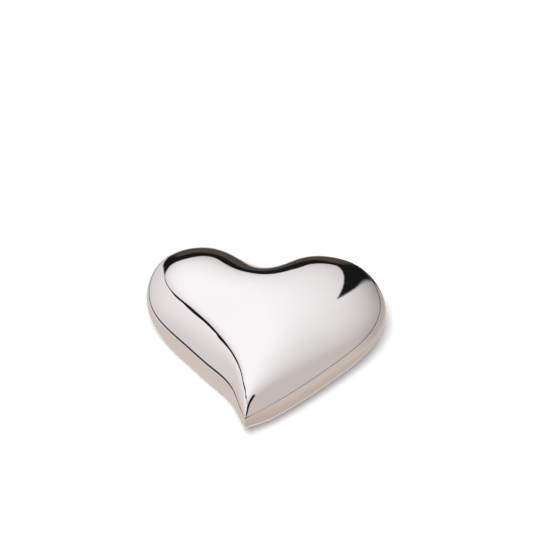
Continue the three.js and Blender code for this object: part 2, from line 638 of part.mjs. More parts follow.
// ---------------------------------------------------------------- magnet catch near the point
{
  const [mx, my] = MAGNET.at;
  const zTop = Z_WIDE + TRAY.top - TRAY.thick - 0.35;
  // post, trimmed to the inside of the base with a hair of room
  const post = solid(
    place(turned([[0, -14], [MAGNET.cup, -14], [MAGNET.cup, 0], [MAGNET.pocket, 0], [MAGNET.pocket, -2.4], [0, -2.4]], 20), mx, my, zTop),
  );
  const room = (t) => {
    const ring = (s) => lift(columns.map((j) => basePoint(j, s, t)));
    const upper = (z) => lift(columns.map((j) => basePoint(j, z <= 0 ? 1 : upperLevel(j, z, t), t, z)));
    const b = bellyLevel(-(Z_WIDE - FLOOR_IN - 0.3), BELLY - t);
    return solid(
      throughRings([
        [[MX, MY, FLOOR_IN + 0.3]],
        ring(b),
        ...[0.945, 0.975].map(ring),
        upper(0),
        upper(SEAM * 0.5),
        [[MX, MY, Z_WIDE + SEAM * 0.5]],
      ]),
    );
  };
  add(base, "magnet_post", fromSolid(post.intersect(room(WALL + 0.45))), NICKEL);
  add(base, "base_magnet", place(turned([[0, -2.1], [MAGNET.r - 0.2, -2.1], [MAGNET.r, -1.9], [MAGNET.r, -0.3], [MAGNET.r - 0.2, -0.1], [0, -0.1]], 20), mx, my, zTop), MAGNET_GREY);
  // keeper in the lid, in a small cup under the crown
  const zk = Z_WIDE + SEAM + 1.35 + 0.35;
  const cup = solid(
    place(turned([[0, 1.3], [MAGNET.pocket, 1.3], [MAGNET.pocket, 0], [MAGNET.cup, 0], [MAGNET.cup, 6], [0, 6]], 20), mx, my, zk),
  );
  const cavity = (t) => {
    const z0 = SEAM + 0.2;
    const ring = (w) => lift(columns.map((j) => upperPoint(j, upperLevel(j, z0, t) * Math.sin((w * Math.PI) / 180), t)));
    return solid(
      throughRings([[[MX, MY, z0 + Z_WIDE]], ring(90), ...[80, 69, 57, 44, 30, 15].map(ring), [[MX, MY, crown(MX, MY, 0, CROWN - t) + Z_WIDE]]]),
    );
  };
  add(lid, "keeper_cup", fromSolid(cup.intersect(cavity(WALL + 0.45))), NICKEL);
  add(lid, "lid_keeper", place(turned([[0, 0.05], [MAGNET.r - 0.15, 0.05], [MAGNET.r, 0.2], [MAGNET.r, 0.95], [0, 0.95]], 20), mx, my, zk), STEEL);
}

// ---------------------------------------------------------------- hinges
leafData.forEach(({ hx, down, u0, u1, angle }, side) => {
  const tag = side === 0 ? "left" : "right";
  const { r, bore, width, mid, gap, leaf } = HINGE;
  const outer = (width - mid) / 2 - gap; // length of each outer knuckle
  const k1 = hx - width / 2 + outer / 2;
  const k2 = hx + width / 2 - outer / 2;
  const hole = solid(place(cyl(bore, width + 4), hx, HINGE.y, HZ));
  // base leaf: two outer knuckles
  const top = -gap / 2;
  let b = solid(strip([[0, top - leaf], [down, top - leaf], [down, -LEAF.down], [down + leaf, -LEAF.down], [down + leaf, top], [0, top]], hx, width));
  b = b.subtract(solid(box(hx - mid / 2 - gap, hx + mid / 2 + gap, HINGE.y - r - gap - 0.1, HINGE.y + 3, HZ - 3, HZ + 3)));
  b = b.add(solid(place(cyl(r, outer), k1, HINGE.y, HZ))).add(solid(place(cyl(r, outer), k2, HINGE.y, HZ)));
  b = b.subtract(hole);
  for (const h of holes.baseLeaf[side]) b = b.subtract(solid(h));
  add(base, `base_leaf_${tag}`, fromSolid(b), NICKEL);
  // lid leaf: one middle knuckle, its plate leaning inwards with the lid's wall
  const lt = gap / 2;
  const c = Math.cos(angle);
  const s = Math.sin(angle);
  let l = solid(
    strip(
      [
        [0, lt],
        [u0 + leaf / c - leaf * (s / c), lt],
        [u1 + leaf * c, LEAF.up - leaf * s],
        [u1, LEAF.up],
        [u0, lt + leaf],
        [0, lt + leaf],
      ],
      hx,
      width,
    ),
  );
  l = l.subtract(solid(box(hx - width, hx - mid / 2, HINGE.y - r - gap - 0.1, HINGE.y + 3, HZ - 3, HZ + 3)));
  l = l.subtract(solid(box(hx + mid / 2, hx + width, HINGE.y - r - gap - 0.1, HINGE.y + 3, HZ - 3, HZ + 3)));
  l = l.add(solid(place(cyl(r, mid), hx, HINGE.y, HZ)));
  l = l.subtract(hole);
  for (const h of holes.lidLeaf[side]) l = l.subtract(solid(h));
  add(lid, `lid_leaf_${tag}`, fromSolid(l), NICKEL);
  // pin with a peened head at each end
  const e = width / 2 + 0.1;
  const pin = turned(
    [[0, -e - 0.25], [HINGE.head * 0.7, -e - 0.25], [HINGE.head, -e - 0.05], [HINGE.head, -e], [HINGE.pin, -e], [HINGE.pin, e], [HINGE.head, e], [HINGE.head, e + 0.05], [HINGE.head * 0.7, e + 0.25], [0, e + 0.25]],
    16,
  );
  add(base, `hinge_pin_${tag}`, along(pin, hx, HINGE.y, HZ), STEEL);
});
rivets.base.forEach(({ g }, i) => add(base, `base_rivet_${i + 1}`, g(), STEEL));
rivets.lid.forEach(({ g }, i) => add(lid, `lid_rivet_${i + 1}`, g(), STEEL));

export default heart;
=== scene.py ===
"""A polished heart-shaped trinket box: lid and base meet at a hairline seam, and the lid turns on two small hinges
let into the wall behind the lobes. Lengths in the making are millimetres and every mesh is scaled to metres."""

import json
import math

import bmesh
import bpy
import numpy as np
from mathutils import Matrix, Vector

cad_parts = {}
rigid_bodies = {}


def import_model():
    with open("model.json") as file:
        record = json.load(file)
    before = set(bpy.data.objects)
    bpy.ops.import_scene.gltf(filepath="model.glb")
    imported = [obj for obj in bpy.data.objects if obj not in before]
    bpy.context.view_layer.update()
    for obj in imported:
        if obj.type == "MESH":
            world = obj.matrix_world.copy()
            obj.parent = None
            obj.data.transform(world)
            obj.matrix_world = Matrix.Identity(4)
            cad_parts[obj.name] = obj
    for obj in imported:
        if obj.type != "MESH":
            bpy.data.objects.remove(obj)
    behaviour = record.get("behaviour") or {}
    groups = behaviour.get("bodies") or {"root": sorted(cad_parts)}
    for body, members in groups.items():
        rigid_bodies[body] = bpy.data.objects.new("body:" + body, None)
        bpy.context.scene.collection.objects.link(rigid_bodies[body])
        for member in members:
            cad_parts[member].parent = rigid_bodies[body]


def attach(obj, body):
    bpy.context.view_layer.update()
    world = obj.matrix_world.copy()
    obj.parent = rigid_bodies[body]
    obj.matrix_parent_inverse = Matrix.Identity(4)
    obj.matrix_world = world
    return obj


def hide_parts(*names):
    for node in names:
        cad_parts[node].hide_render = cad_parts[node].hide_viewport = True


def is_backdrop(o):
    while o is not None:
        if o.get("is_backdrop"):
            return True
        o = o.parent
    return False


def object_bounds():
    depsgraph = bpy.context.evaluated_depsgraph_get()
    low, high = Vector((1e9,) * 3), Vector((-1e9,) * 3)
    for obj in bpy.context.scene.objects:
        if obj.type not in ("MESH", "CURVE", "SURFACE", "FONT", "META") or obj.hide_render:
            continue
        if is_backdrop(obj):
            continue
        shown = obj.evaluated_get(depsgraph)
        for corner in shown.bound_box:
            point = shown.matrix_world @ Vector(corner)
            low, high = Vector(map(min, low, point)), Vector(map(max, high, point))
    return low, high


for old in list(bpy.data.objects):
    bpy.data.objects.remove(old)
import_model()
CAD_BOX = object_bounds()
SCENE = bpy.context.scene

# ------------------------------------------------------------------ dimensions, as in the solid model
OUTLINE = np.array([
    [-1.66, -33.6], [8.51, -25.55], [18.76, -16.05], [27.74, -6.71], [35.21, 3.16], [38.05, 13.64], [35.61, 23.13],
    [29.35, 30.92], [20.46, 34.25], [10.98, 32.98], [2.37, 27.9], [-6.57, 28.7], [-16.67, 33.8], [-27.16, 33.53],
    [-35.19, 27.43], [-38.09, 16.59], [-35.2, 5.52], [-23.58, -6.71], [-15.08, -14.31], [-8.25, -20.46], [-4.85, -26.5],
])
CENTRE = complex(-3.31, 1.95)
ROUNDING = 2.97
CROWN = 13.63
CROWN_SHAPE = (-0.1037, -0.0788, -0.0658, 0.1656, 0.1426, -0.0548)
BELLY = 17.96
BELLY_POWER = 1.908
Z_WIDE = 10.0
SEAM = 3.13
SEAM_GAP = 0.3
TIP_TUCK = (0.028, 0.0025, 7.2)  # at the widest level, more per mm below it, reach along the edge
WALL = 1.5
FOOT_LEVEL = 0.8
FLOOR_IN = 3.3
FELT_LEVEL = 0.755
FELT_RECESS = 0.78
SHIFT_Y = -0.75
HX = (-20.88, 17.12)
HY = 32.3
HV = SEAM - 0.75
HZ = Z_WIDE + HV
N = 576  # columns round the heart
MM = 0.001


# ------------------------------------------------------------------ the heart's surface
def slopes(d, v):
    """Slopes of a cubic spline with not-a-knot ends."""
    n = len(d)
    h = np.diff(d)
    g = np.diff(v) / h
    A = np.zeros((n, n))
    b = np.zeros(n)
    A[0, 0], A[0, 1] = h[1], d[2] - d[0]
    b[0] = ((h[0] + 2 * (d[2] - d[0])) * h[1] * g[0] + h[0] ** 2 * g[1]) / (d[2] - d[0])
    for i in range(1, n - 1):
        A[i, i - 1], A[i, i], A[i, i + 1] = h[i], 2 * (h[i - 1] + h[i]), h[i - 1]
        b[i] = 3 * (h[i] * g[i - 1] + h[i - 1] * g[i])
    e = d[-1] - d[-3]
    A[-1, -2], A[-1, -1] = e, h[-2]
    b[-1] = (h[-1] ** 2 * g[-2] + (2 * e + h[-1]) * h[-2] * g[-1]) / e
    return np.linalg.solve(A, b)


def spline_at(d, v, s, u):
    i = np.clip(np.searchsorted(d, u, side="right") - 1, 0, len(d) - 2)
    h = d[i + 1] - d[i]
    t = (u - d[i]) / h
    return (
        (1 + 2 * t) * (1 - t) ** 2 * v[i]
        + t * (1 - t) ** 2 * h * s[i]
        + t * t * (3 - 2 * t) * v[i + 1]
        + t * t * (t - 1) * h * s[i + 1]
    )


def sample_outline(points, count):
    P = np.vstack([points, points[:1]])
    d = np.r_[0, np.cumsum(np.hypot(*np.diff(P, axis=0).T) ** 0.75)]
    sx, sy = slopes(d, P[:, 0]), slopes(d, P[:, 1])
    u = np.linspace(0, d[-1], count * 8 + 1)
    fine = spline_at(d, P[:, 0], sx, u) + 1j * spline_at(d, P[:, 1], sy, u)
    L = np.r_[0, np.cumsum(np.abs(np.diff(fine)))]
    w = np.interp(np.linspace(0, L[-1], count, endpoint=False), L, u)
    return spline_at(d, P[:, 0], sx, w) + 1j * spline_at(d, P[:, 1], sy, w), L[-1]


EDGE, EDGE_LENGTH = sample_outline(OUTLINE, N)
FREQ = np.fft.fftfreq(N, 1 / N)
COEF = np.fft.fft(EDGE - CENTRE) / N
PHASE = np.exp(2j * np.pi * np.outer(np.arange(N), FREQ) / N)  # column, harmonic


def plan(s):
    """Plan position (complex) of each column at its level s."""
    s = np.broadcast_to(np.asarray(s, float), (N,))
    q = np.maximum(s, 1e-9)
    h = -np.log(q) - (1 - q)
    W = np.exp(-ROUNDING * np.outer(h, np.maximum(np.abs(FREQ) - 1, 0)))
    W[:, 0] = s
    return CENTRE + s * ((W * PHASE) @ COEF)


def crown(z, s, height):
    x, y = (z.real - CENTRE.real) / 35, (z.imag - CENTRE.imag) / 35
    a, b, c, d, e, f = CROWN_SHAPE
    return height * np.sqrt(np.maximum(0, 1 - s * s)) * (
        1 + a * x + b * y + c * x * x + d * x * y + e * y * y + f * s * s
    )


def span_at(count):
    """How far the edge moves inwards for each unit of level."""
    E, _ = sample_outline(OUTLINE, count)
    t = np.roll(E, -1) - np.roll(E, 1)
    t /= np.abs(t)
    p = E - CENTRE
    v = np.maximum(12, p.real * t.imag - p.imag * t.real)
    for _ in range(24):
        v = (np.roll(v, 1) + 2 * v + np.roll(v, -1)) / 4
    return v


_s288 = span_at(288)
SPAN = np.interp(np.arange(N) * 288 / N, np.arange(289), np.r_[_s288, _s288[0]])
ARC = np.minimum(np.arange(N), N - np.arange(N)) * EDGE_LENGTH / N  # distance from the point of the heart


def near_tip(reach):
    return np.exp(-((ARC / reach) ** 2))


def upper_point(s, t=0.0):
    s = np.broadcast_to(np.asarray(s, float), (N,))
    z = plan(s * (1 - t / SPAN))
    return np.stack([z.real, z.imag, crown(z, s, CROWN - t)], 1)


def upper_level(z, t=0.0):
    lo, hi = np.full(N, 0.2), np.full(N, 1.0)
    for _ in range(22):
        mid = (lo + hi) / 2
        above = upper_point(mid, t)[:, 2] > z
        lo, hi = np.where(above, mid, lo), np.where(above, hi, mid)
    return (lo + hi) / 2


_levels = {}


def level_at(z, t=0.0):
    key = (round(z, 5), round(t, 5))
    if key not in _levels:
        _levels[key] = upper_level(z, t) if z > 1e-6 else np.full(N, 1.0)
    return _levels[key]


def belly_level(z, depth):
    return (1 - (z / depth) ** 2) ** (1 / BELLY_POWER)


def tuck(z):
    z = np.asarray(z, float)
    f = np.where(z > 0, TIP_TUCK[0] * np.maximum(0, 1 - z / SEAM), TIP_TUCK[0] - TIP_TUCK[1] * z)
    return 1 - near_tip(TIP_TUCK[2]) * f


def base_ring(z, t=0.0, inset=0.0):
    """A ring of the base at height z over the widest level, for wall inset t, moved a further inset inwards."""
    if z > 1e-6:
        s = level_at(z, t)
    elif z < -1e-6:
        s = belly_level(z, BELLY - t)
    else:
        s = 1.0
    p = plan(s * tuck(z) * (1 - t / SPAN) - inset / SPAN)
    return np.stack([p.real, p.imag, np.full(N, z)], 1)


def lid_ring(z, t=0.0, inset=0.0):
    p = plan(level_at(z, t) * (1 - t / SPAN) - inset / SPAN)
    return np.stack([p.real, p.imag, np.full(N, z)], 1)


def flat(s, z):
    """A level ring at plan level s and height z over the widest level, following the base's tuck."""
    p = plan(s * tuck(z))
    return np.stack([p.real, p.imag, np.full(N, float(z))], 1)


def rim_ring(z, t, inset, lower):
    """A ring near the seam whose height z differs from column to column."""
    z = np.broadcast_to(np.asarray(z, float), (N,))
    s = upper_level(z, t) * (tuck(z) if lower else 1.0)
    p = plan(s * (1 - t / SPAN) - inset / SPAN)
    return np.stack([p.real, p.imag, z], 1)


def ease(x, a, b):
    x = np.clip((x - a) / (b - a), 0, 1)
    return x * x * (3 - 2 * x)


# The lid closes tighter along the straight right side than along the swept left side.
_left = np.arange(N) > N / 2
ON_LEFT = np.where(_left, ease(ARC, 0, 4) * ease(ARC, 68, 30), 0)
ON_RIGHT = np.where(_left, 0, ease(ARC, 0, 3) * ease(ARC, 82, 64))
BASE_RIM = SEAM - SEAM_GAP / 2 - 0.27 * ON_LEFT + 0.14 * ON_RIGHT
LID_RIM = SEAM + SEAM_GAP / 2 + 0.26 * ON_LEFT - 0.05 * ON_RIGHT
RIM_EDGE = 1 - 0.6 * ON_RIGHT  # how much of its rounding the rim's outer edge has


def inner_wall(z, g):
    return base_ring(z, WALL, g) if z < SEAM + 0.01 else lid_ring(z, WALL, g)


# ------------------------------------------------------------------ meshes
def new_object(name, verts, faces, mat=None, smooth=True):
    mesh = bpy.data.meshes.new(name)
    v = np.asarray(verts, float).copy()
    v[:, 1] += SHIFT_Y
    v[:, 2] += Z_WIDE
    mesh.from_pydata((v * MM).tolist(), [], faces)
    mesh.update()
    ob = bpy.data.objects.new(name, mesh)
    SCENE.collection.objects.link(ob)
    bm = bmesh.new()
    bm.from_mesh(mesh)
    bmesh.ops.recalc_face_normals(bm, faces=bm.faces)
    bm.to_mesh(mesh)
    bm.free()
    if smooth:
        mesh.polygons.foreach_set("use_smooth", [True] * len(mesh.polygons))
    if mat is not None:
        mesh.materials.append(mat)
    return ob


def loft(name, rings, mat=None, thin=True):
    """A closed skin through rings of points, with single points as poles. Rings near a pole carry fewer points."""
    made = []
    for i, r in enumerate(rings):
        r = np.asarray(r, float).reshape(-1, 3)
        made.append(r)
    if thin:  # rings near a pole are thinned in steps, so no face gets very thin
        for end in (0, 1):
            order = range(1, len(made)) if end == 0 else range(len(made) - 2, -1, -1)
            if len(made[0 if end == 0 else -1]) != 1:
                continue
            n = None
            prev = None
            for i in order:
                r = made[i]
                if len(r) != N:
                    break
                size = np.ptp(r[:, 0])
                want = N
                for k, lim in ((8, 4.5), (4, 11.0), (2, 24.0)):
                    if size < lim:
                        want = N // k
                        break
                if prev is not None and want > prev * 2:
                    want = prev * 2
                prev = want
                made[i] = r[:: N // want]
                if want == N:
                    break
    verts = np.vstack(made)
    start = np.cumsum([0] + [len(r) for r in made])
    faces = []
    for i in range(len(made) - 1):
        a, b = start[i], start[i + 1]
        na, nb = len(made[i]), len(made[i + 1])
        if na == 1:
            faces += [(a, b + j, b + (j + 1) % nb) for j in range(nb)]
        elif nb == 1:
            faces += [(a + (j + 1) % na, a + j, b) for j in range(na)]
        elif na == nb:
            faces += [(a + j, b + j, b + (j + 1) % nb, a + (j + 1) % na) for j in range(na)]
        elif nb == 2 * na:
            for j in range(na):
                p, q, r = b + 2 * j, b + (2 * j + 1) % nb, b + (2 * j + 2) % nb
                faces += [(a + j, p, q), (a + j, q, a + (j + 1) % na), (q, r, a + (j + 1) % na)]
        elif na == 2 * nb:
            for j in range(nb):
                p, q, r = a + 2 * j, a + (2 * j + 1) % na, a + (2 * j + 2) % na
                faces += [(b + j, q, p), (b + j, b + (j + 1) % nb, q), (q, b + (j + 1) % nb, r)]
        else:
            raise ValueError(f"{name}: rings of {na} and {nb} points")
    return new_object(name, verts, faces, mat)


def apply_modifiers(ob):
    dg = bpy.context.evaluated_depsgraph_get()
    mesh = bpy.data.meshes.new_from_object(ob.evaluated_get(dg))
    old = ob.data
    ob.modifiers.clear()
    ob.data = mesh
    mesh.name = ob.name
    if old.users == 0:
        bpy.data.meshes.remove(old)
    return ob


def cut(ob, cutter, operation="DIFFERENCE", keep=False):
    m = ob.modifiers.new("cut", "BOOLEAN")
    m.operation = operation
    m.solver = "EXACT"
    m.object = cutter
    bpy.context.view_layer.update()
    apply_modifiers(ob)
    if not keep:
        bpy.data.objects.remove(cutter)
    return ob


def sharp_edges(ob, degrees=35.0):
    """Smooth faces, with edges steeper than this kept crisp."""
    me = ob.data
    bm = bmesh.new()
    bm.from_mesh(me)
    lim = math.radians(degrees)
    for e in bm.edges:
        e.smooth = not (len(e.link_faces) != 2 or e.calc_face_angle(0) > lim)
    for f in bm.faces:
        f.smooth = True
    bm.to_mesh(me)
    bm.free()
    return ob


def block(x0, x1, y0, y1, z0, z1, r=0.0, steps=3):
    """A box cutter with rounded edges, in model millimetres over the widest level."""
    me = bpy.data.meshes.new("block")
    ob = bpy.data.objects.new("block", me)
    SCENE.collection.objects.link(ob)
    bm = bmesh.new()
    c = [bm.verts.new((x, y, z)) for x in (x0, x1) for y in (y0, y1) for z in (z0, z1)]
    for q in ((0, 1, 3, 2), (4, 6, 7, 5), (0, 4, 5, 1), (2, 3, 7, 6), (0, 2, 6, 4), (1, 5, 7, 3)):
        bm.faces.new([c[i] for i in q])
    if r:
        bmesh.ops.bevel(bm, geom=bm.edges[:], offset=r, segments=steps, profile=0.5, affect="EDGES")
    bmesh.ops.recalc_face_normals(bm, faces=bm.faces)
    for v in bm.verts:
        v.co = Vector((v.co.x, v.co.y + SHIFT_Y, v.co.z + Z_WIDE)) * MM
    bm.to_mesh(me)
    bm.free()
    return ob


def turned(name, profile, at, axis, mat=None, sides=40):
    """A turned piece: (radius, height) pairs along axis from at, in model millimetres over the widest level."""
    axis = np.asarray(axis, float)
    axis /= np.linalg.norm(axis)
    ref = np.array([0, 0, 1.0]) if abs(axis[2]) < 0.9 else np.array([1.0, 0, 0])
    u = np.cross(ref, axis)
    u /= np.linalg.norm(u)
    v = np.cross(axis, u)
    a = np.arange(sides) * 2 * np.pi / sides
    rings = []
    for r, h in profile:
        c = np.asarray(at, float) + axis * h
        rings.append(c[None] if r < 1e-6 else c + r * (np.cos(a)[:, None] * u + np.sin(a)[:, None] * v))
    return loft(name, rings, mat, thin=False)


def round_profile(points, r, steps=4):
    """The profile with its corners rounded by r, or by each corner's own r."""
    P = [np.array(p[:2], float) for p in points]
    out = [P[0]]
    for i in range(1, len(P) - 1):
        q = points[i][2] if len(points[i]) > 2 else r
        a, b = P[i - 1] - P[i], P[i + 1] - P[i]
        la, lb = np.linalg.norm(a), np.linalg.norm(b)
        if q <= 0 or la < 1e-9 or lb < 1e-9:
            out.append(P[i])
            continue
        q = min(q, la * 0.45, lb * 0.45)
        s, e = P[i] + a / la * q, P[i] + b / lb * q
        for k in range(steps + 1):
            t = k / steps
            out.append((1 - t) ** 2 * s + 2 * t * (1 - t) * P[i] + t * t * e)
    out.append(P[-1])
    return [tuple(p) for p in out]


# ------------------------------------------------------------------ materials
class Nodes:
    """Short words for building a node tree."""

    def __init__(self, tree):
        self.t = tree
        tree.nodes.clear()

    def new(self, kind, **props):
        n = self.t.nodes.new(kind)
        for k, v in props.items():
            setattr(n, k, v)
        return n

    def put(self, socket, value):
        if value is None:
            return
        if isinstance(value, bpy.types.NodeSocket):
            self.t.links.new(value, socket)
        else:
            socket.default_value = value

    def math(self, op, a, b=None, c=None, clamp=False):
        n = self.new("ShaderNodeMath", operation=op, use_clamp=clamp)
        for i, x in enumerate((a, b, c)):
            self.put(n.inputs[i], x)
        return n.outputs[0]

    def add(self, a, b):
        return self.math("ADD", a, b)

    def sub(self, a, b):
        return self.math("SUBTRACT", a, b)

    def mul(self, a, b):
        return self.math("MULTIPLY", a, b)

    def ramp(self, x, x0, x1, y0=0.0, y1=1.0, smooth=True):
        n = self.new("ShaderNodeMapRange", interpolation_type="SMOOTHSTEP" if smooth else "LINEAR", clamp=True)
        for i, v in enumerate((x, x0, x1, y0, y1)):
            self.put(n.inputs[i], v)
        return n.outputs[0]

    def mix(self, f, a, b):
        n = self.new("ShaderNodeMix", data_type="RGBA")
        self.put(n.inputs[0], f)
        for s, v in ((n.inputs[6], a), (n.inputs[7], b)):
            self.put(s, v if isinstance(v, bpy.types.NodeSocket) else (*v, 1.0))
        return n.outputs[2]

    def coords(self, scale=1.0, stretch=None):
        c = self.new("ShaderNodeTexCoord").outputs["Object"]
        m = self.new("ShaderNodeMapping")
        self.put(m.inputs["Vector"], c)
        m.inputs["Scale"].default_value = tuple(scale * x for x in (stretch or (1, 1, 1)))
        return m.outputs[0]

    def noise(self, vec, scale, detail=2.0, rough=0.5, distortion=0.0):
        n = self.new("ShaderNodeTexNoise")
        self.put(n.inputs["Vector"], vec)
        n.inputs["Scale"].default_value = scale
        n.inputs["Detail"].default_value = detail
        n.inputs["Roughness"].default_value = rough
        n.inputs["Distortion"].default_value = distortion
        return n.outputs[0]

    def bump(self, height, distance, strength=1.0, normal=None):
        n = self.new("ShaderNodeBump")
        n.inputs["Strength"].default_value = strength
        n.inputs["Distance"].default_value = distance
        self.put(n.inputs["Height"], height)
        self.put(n.inputs["Normal"], normal)
        return n.outputs[0]


def material(name):
    m = bpy.data.materials.new(name)
    m.use_nodes = True
    N_ = Nodes(m.node_tree)
    out = N_.new("ShaderNodeOutputMaterial")
    bsdf = N_.new("ShaderNodeBsdfPrincipled")
    N_.put(out.inputs[0], bsdf.outputs[0])
    return m, N_, bsdf


def polished_metal():
    m, n, b = material("polished_silver")
    c = n.coords(1.0)
    # faint clouds where hands have touched it, a fine haze, and hairline polishing marks
    cloud = n.noise(c, 55.0, 3.0, 0.6, 0.8)
    haze = n.noise(c, 900.0, 2.0, 0.5)
    tint = n.ramp(cloud, 0.35, 0.7, 0.0, 1.0)
    n.put(b.inputs["Base Color"], n.mix(tint, (0.935, 0.92, 0.925), (0.92, 0.907, 0.915)))
    b.inputs["Metallic"].default_value = 1.0
    marks = n.noise(n.coords(1.0, (1.0, 7.0, 3.0)), 1500.0, 2.0, 0.7)
    rough = n.add(n.ramp(cloud, 0.42, 0.75, 0.028, 0.05), n.ramp(haze, 0.3, 0.8, 0.0, 0.014))
    n.put(b.inputs["Roughness"], n.add(rough, n.ramp(marks, 0.62, 0.8, 0.0, 0.03)))
    wave = n.noise(c, 90.0, 1.0, 0.4)
    nb = n.bump(wave, 0.00002, 0.25)
    n.put(b.inputs["Normal"], n.bump(marks, 0.0000012, 0.5, nb))
    return m


def satin_metal(name, colour, rough, stretch=(1.0, 6.0, 6.0), scale=1400.0):
    m, n, b = material(name)
    c = n.coords(1.0, stretch)
    grain = n.noise(c, scale, 3.0, 0.65)
    cloud = n.noise(n.coords(1.0), 160.0, 2.0, 0.5)
    dark = tuple(x * 0.88 for x in colour)
    n.put(b.inputs["Base Color"], n.mix(n.ramp(cloud, 0.3, 0.75), colour, dark))
    b.inputs["Metallic"].default_value = 1.0
    n.put(b.inputs["Roughness"], n.ramp(grain, 0.3, 0.75, rough * 0.75, rough * 1.35))
    n.put(b.inputs["Normal"], n.bump(grain, 0.000004, 0.6))
    return m


def velvet(name, colour, sheen, pile=5200.0):
    m, n, b = material(name)
    c = n.coords(1.0)
    lean = n.noise(c, 95.0, 3.0, 0.55, 1.2)  # where the pile has been stroked one way or the other
    tuft = n.noise(c, pile, 2.0, 0.6)
    dark = tuple(x * 0.42 for x in colour)
    base = n.mix(n.ramp(lean, 0.32, 0.68), dark, colour)
    n.put(b.inputs["Base Color"], n.mix(n.ramp(tuft, 0.35, 0.72), tuple(x * 0.5 for x in dark), base))
    b.inputs["Roughness"].default_value = 0.95
    b.inputs["Specular IOR Level"].default_value = 0.1
    b.inputs["Sheen Weight"].default_value = 0.7
    b.inputs["Sheen Roughness"].default_value = 0.35
    b.inputs["Sheen Tint"].default_value = (*sheen, 1.0)
    nb = n.bump(lean, 0.0003, 0.35)
    n.put(b.inputs["Normal"], n.bump(tuft, 0.00012, 0.9, nb))
    return m


def satin(name, colour):
    m, n, b = material(name)
    c = n.coords(1.0)
    warp = n.new("ShaderNodeTexWave", wave_type="BANDS", bands_direction="X")
    weft = n.new("ShaderNodeTexWave", wave_type="BANDS", bands_direction="Y")
    for w, sc in ((warp, 1500.0), (weft, 900.0)):
        n.put(w.inputs["Vector"], c)
        w.inputs["Scale"].default_value = sc
        w.inputs["Distortion"].default_value = 1.5
        w.inputs["Detail"].default_value = 1.0
        w.inputs["Detail Scale"].default_value = 2.0
    weave = n.mul(warp.outputs["Fac"], weft.outputs["Fac"])
    slub = n.noise(n.coords(1.0, (1.0, 12.0, 4.0)), 240.0, 3.0, 0.6)
    n.put(b.inputs["Base Color"], n.mix(n.ramp(slub, 0.35, 0.7), colour, tuple(x * 0.75 for x in colour)))
    n.put(b.inputs["Roughness"], n.ramp(slub, 0.3, 0.7, 0.3, 0.42))
    b.inputs["Specular IOR Level"].default_value = 0.65
    b.inputs["Sheen Weight"].default_value = 0.35
    b.inputs["Sheen Roughness"].default_value = 0.3
    b.inputs["Sheen Tint"].default_value = (0.95, 0.75, 0.78, 1.0)
    b.inputs["Anisotropic"].default_value = 0.6
    nb = n.bump(slub, 0.0001, 0.4)
    n.put(b.inputs["Normal"], n.bump(weave, 0.00005, 0.6, nb))
    return m


def felt(name, colour):
    m, n, b = material(name)
    c = n.coords(1.0)
    fibre = n.noise(n.coords(1.0, (1.0, 3.0, 1.0)), 2600.0, 4.0, 0.7, 2.5)
    fleck = n.noise(c, 700.0, 2.0, 0.6, 1.0)
    n.put(b.inputs["Base Color"], n.mix(n.ramp(fibre, 0.35, 0.7), tuple(x * 0.55 for x in colour), tuple(min(1, x * 1.5) for x in colour)))
    b.inputs["Roughness"].default_value = 1.0
    b.inputs["Specular IOR Level"].default_value = 0.05
    b.inputs["Sheen Weight"].default_value = 0.3
    b.inputs["Sheen Roughness"].default_value = 0.6
    nb = n.bump(fleck, 0.0002, 0.6)
    n.put(b.inputs["Normal"], n.bump(fibre, 0.0001, 0.8, nb))
    return m


SILVER = polished_metal()
COLLAR = satin_metal("collar_nickel", (0.83, 0.81, 0.78), 0.2)
HINGE_METAL = satin_metal("hinge_nickel", (0.85, 0.83, 0.81), 0.14, (6.0, 1.0, 6.0))
STEEL = satin_metal("bright_steel", (0.74, 0.73, 0.72), 0.22, (1.0, 1.0, 1.0), 2200.0)
MAGNET = satin_metal("magnet_plating", (0.55, 0.55, 0.57), 0.3, (1.0, 1.0, 1.0), 1200.0)
VELVET = velvet("velvet_cushion", (0.155, 0.022, 0.045), (0.75, 0.35, 0.42))
FLOCK = velvet("flocked_tray", (0.115, 0.018, 0.035), (0.6, 0.3, 0.36), 7000.0)
SATIN = satin("satin_lining", (0.27, 0.05, 0.085))
FELT = felt("felt_black", (0.03, 0.029, 0.032))
CORD_SATIN = satin("satin_cord", (0.33, 0.075, 0.11))
# dark metal for the rims' meeting faces: its dark colour is painted shade for the seam, its high roughness is real
# dullness
JOINT_FACE_PAINTED_SHADE = satin_metal("joint_face_painted_shade", (0.22, 0.2, 0.18), 0.5, (1.0, 1.0, 1.0), 1800.0)

PLACED = {}


def paint_joint_face_shade(ob, z, tol=0.3):
    """The narrow level face of a rim, where lid and base meet, is duller than the polished outside, and its dark colour
    is painted shade for the dark seam between lid and base.
    """
    ob.data.materials.append(JOINT_FACE_PAINTED_SHADE)
    level = (z + Z_WIDE) * MM
    sign = 1 if z < SEAM else -1
    for p in ob.data.polygons:
        if abs(p.normal.z) > 0.8 and abs(p.center.z - level) < tol * MM and p.normal.z * sign > 0:
            p.material_index = len(ob.data.materials) - 1


def settle(ob, body, slot, *nodes):
    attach(ob, body)
    if nodes:
        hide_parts(*nodes)
    PLACED[ob.name] = ob
    return ob


# ------------------------------------------------------------------ the shells
def arc(steps, r):
    """Quarter turn from the wall to the flat: (inset, drop) pairs, the first on the wall."""
    return [(r * (1 - math.cos(a)), r * (1 - math.sin(a))) for a in np.linspace(0, math.pi / 2, steps)]


